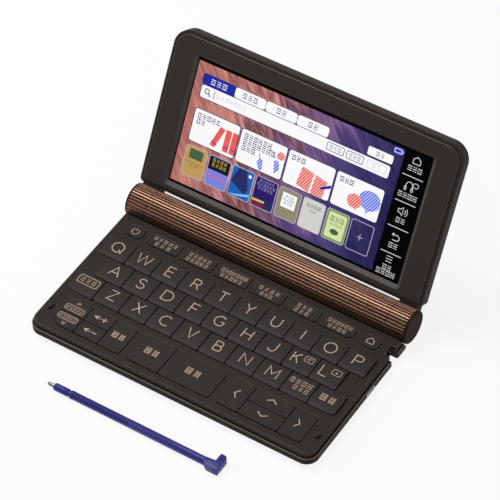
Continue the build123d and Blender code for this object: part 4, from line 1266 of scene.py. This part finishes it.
shaft_profile += [
    (stylus_radius, 73.7), (stylus_radius - 0.15, 73.9), (1.5, 74.0), (1.5, 74.9),
    (1.62, 75.0), (1.75, 75.2), (1.75, 81.6), (1.68, 82.1), (1.45, 82.45), (0.9, 82.6), (0, 82.6),
]
along_stylus = Matrix.Translation(stylus_axis) @ Matrix.Rotation(-pi / 2, 4, "Y") @ Matrix.Scale(MM, 4)
shaft_work = bmesh.new()
turned(shaft_work, shaft_profile, along_stylus, 40)
shaft = finished(shaft_work, "stylus_shaft", stylus_plastic, 40)
belongs(shaft, "stylus", "stylus_plastic", "stylus")

head_work = bmesh.new()
head_outline = [
    (-head_ramp, 1.3), (-head_ramp, -1.3), (-head_ramp / 2, -head_heel), (head_thickness, -head_heel),
    (head_thickness, head_leg - 1.0), (head_thickness - 1.0, head_leg), (0.4, head_leg), (0, head_leg - 0.4),
    (0, 1.7),
]
head_place = Matrix.Translation(stylus_axis) @ Matrix.Scale(MM, 4)
prism(head_work, head_outline, -stylus_radius, stylus_radius, head_place)
bmesh.ops.recalc_face_normals(head_work, faces=head_work.faces)
bmesh.ops.bevel(
    head_work, geom=[e for e in head_work.edges if e.calc_face_angle() > radians(40)],
    offset=0.85 * MM, segments=4, profile=0.5, affect="EDGES", clamp_overlap=True,
)
head = finished(head_work, "stylus_head", stylus_plastic, 40)
belongs(head, "stylus", "stylus_plastic")

tip_work = bmesh.new()
tip_profile = [(0, 82.0), (0.85, 82.0), (0.85, 85.2), (0.78, 85.6), (0.6, 85.95), (0.3, 86.15), (0, stylus_length)]
turned(tip_work, tip_profile, along_stylus, 28)
tip = finished(tip_work, "stylus_tip", bare_metal("tip_metal", (0.30, 0.30, 0.30), 0.3), 40)
belongs(tip, "stylus", "stylus_plastic")

# ---- table, lights and camera -------------------------------------------------------------------------------------------------
# A plain white table under soft studio lights: one large lamp overhead, one at the front and
# a low one on the left. The camera stands where the photograph was taken from.
table_mesh = bpy.data.meshes.new("table_top")
half_table = 6.0
table_mesh.from_pydata(
    [(-half_table, -half_table, 0), (half_table, -half_table, 0), (half_table, half_table, 0),
     (-half_table, half_table, 0)], [], [(0, 1, 2, 3)],
)
table_top = bpy.data.objects.new("table_top", table_mesh)
bpy.context.scene.collection.objects.link(table_top)
white_board = bpy.data.materials.new("white_board")
white_board.use_nodes = True
tree = white_board.node_tree
output = tree.nodes["Material Output"]
board_surface = tree.nodes["Principled BSDF"]
board_surface.inputs["Base Color"].default_value = (0.95, 0.95, 0.95, 1)
board_surface.inputs["Roughness"].default_value = 0.9
board_surface.inputs["Specular IOR Level"].default_value = 0.0
glow = tree.nodes.new("ShaderNodeEmission")
rays = tree.nodes.new("ShaderNodeLightPath")
either = tree.nodes.new("ShaderNodeMath")
either.operation = "MAXIMUM"
any_of = tree.nodes.new("ShaderNodeMath")
any_of.operation = "MAXIMUM"
share = tree.nodes.new("ShaderNodeMath")
share.operation = "MULTIPLY"
share.inputs[1].default_value = 0.86
mixed = tree.nodes.new("ShaderNodeMixShader")
tree.links.new(rays.outputs["Is Camera Ray"], either.inputs[0])
tree.links.new(rays.outputs["Is Glossy Ray"], either.inputs[1])
tree.links.new(either.outputs["Value"], any_of.inputs[0])
tree.links.new(rays.outputs["Is Transmission Ray"], any_of.inputs[1])
tree.links.new(any_of.outputs["Value"], share.inputs[0])
tree.links.new(share.outputs["Value"], mixed.inputs["Fac"])
tree.links.new(board_surface.outputs["BSDF"], mixed.inputs[1])
tree.links.new(glow.outputs["Emission"], mixed.inputs[2])
tree.links.new(mixed.outputs["Shader"], output.inputs["Surface"])
table_mesh.materials.append(white_board)

world = bpy.data.worlds.new("studio")
bpy.context.scene.world = world
world.use_nodes = True
world.node_tree.nodes["Background"].inputs["Color"].default_value = (1, 1, 1, 1)
world.node_tree.nodes["Background"].inputs["Strength"].default_value = 0.24


def lamp(name, place, aim, size_x, size_y, power):
    """A soft box that points at a place."""
    data = bpy.data.lights.new(name, "AREA")
    data.shape = "RECTANGLE"
    data.size, data.size_y = size_x, size_y
    data.energy = power
    box = bpy.data.objects.new(name, data)
    box.location = place
    box.rotation_euler = (Vector(aim) - Vector(place)).to_track_quat("-Z", "Y").to_euler()
    bpy.context.scene.collection.objects.link(box)


lamp("overhead_lamp", (-0.41, 0.14, 1.02), (0, 0.02, 0.03), 0.5, 0.55, 7.0)
lamp("front_lamp", (0.35, -0.95, 0.8), (0, 0, 0.02), 0.9, 0.6, 1.5)
lamp("left_lamp", (-0.9, -0.15, 0.55), (0, 0, 0.03), 0.5, 0.5, 1.3)

camera_data = bpy.data.cameras.new("camera")
camera_data.lens = 210.4
camera_data.sensor_width = 36
camera_data.clip_start, camera_data.clip_end = 0.05, 30
camera = bpy.data.objects.new("camera", camera_data)
camera.location = (0.485391, -0.688383, 0.98217)
camera.rotation_euler = (radians(41.9112), radians(1.5865), radians(32.8911))
bpy.context.scene.collection.objects.link(camera)
bpy.context.scene.camera = camera
bpy.context.scene.view_settings.view_transform = "Standard"
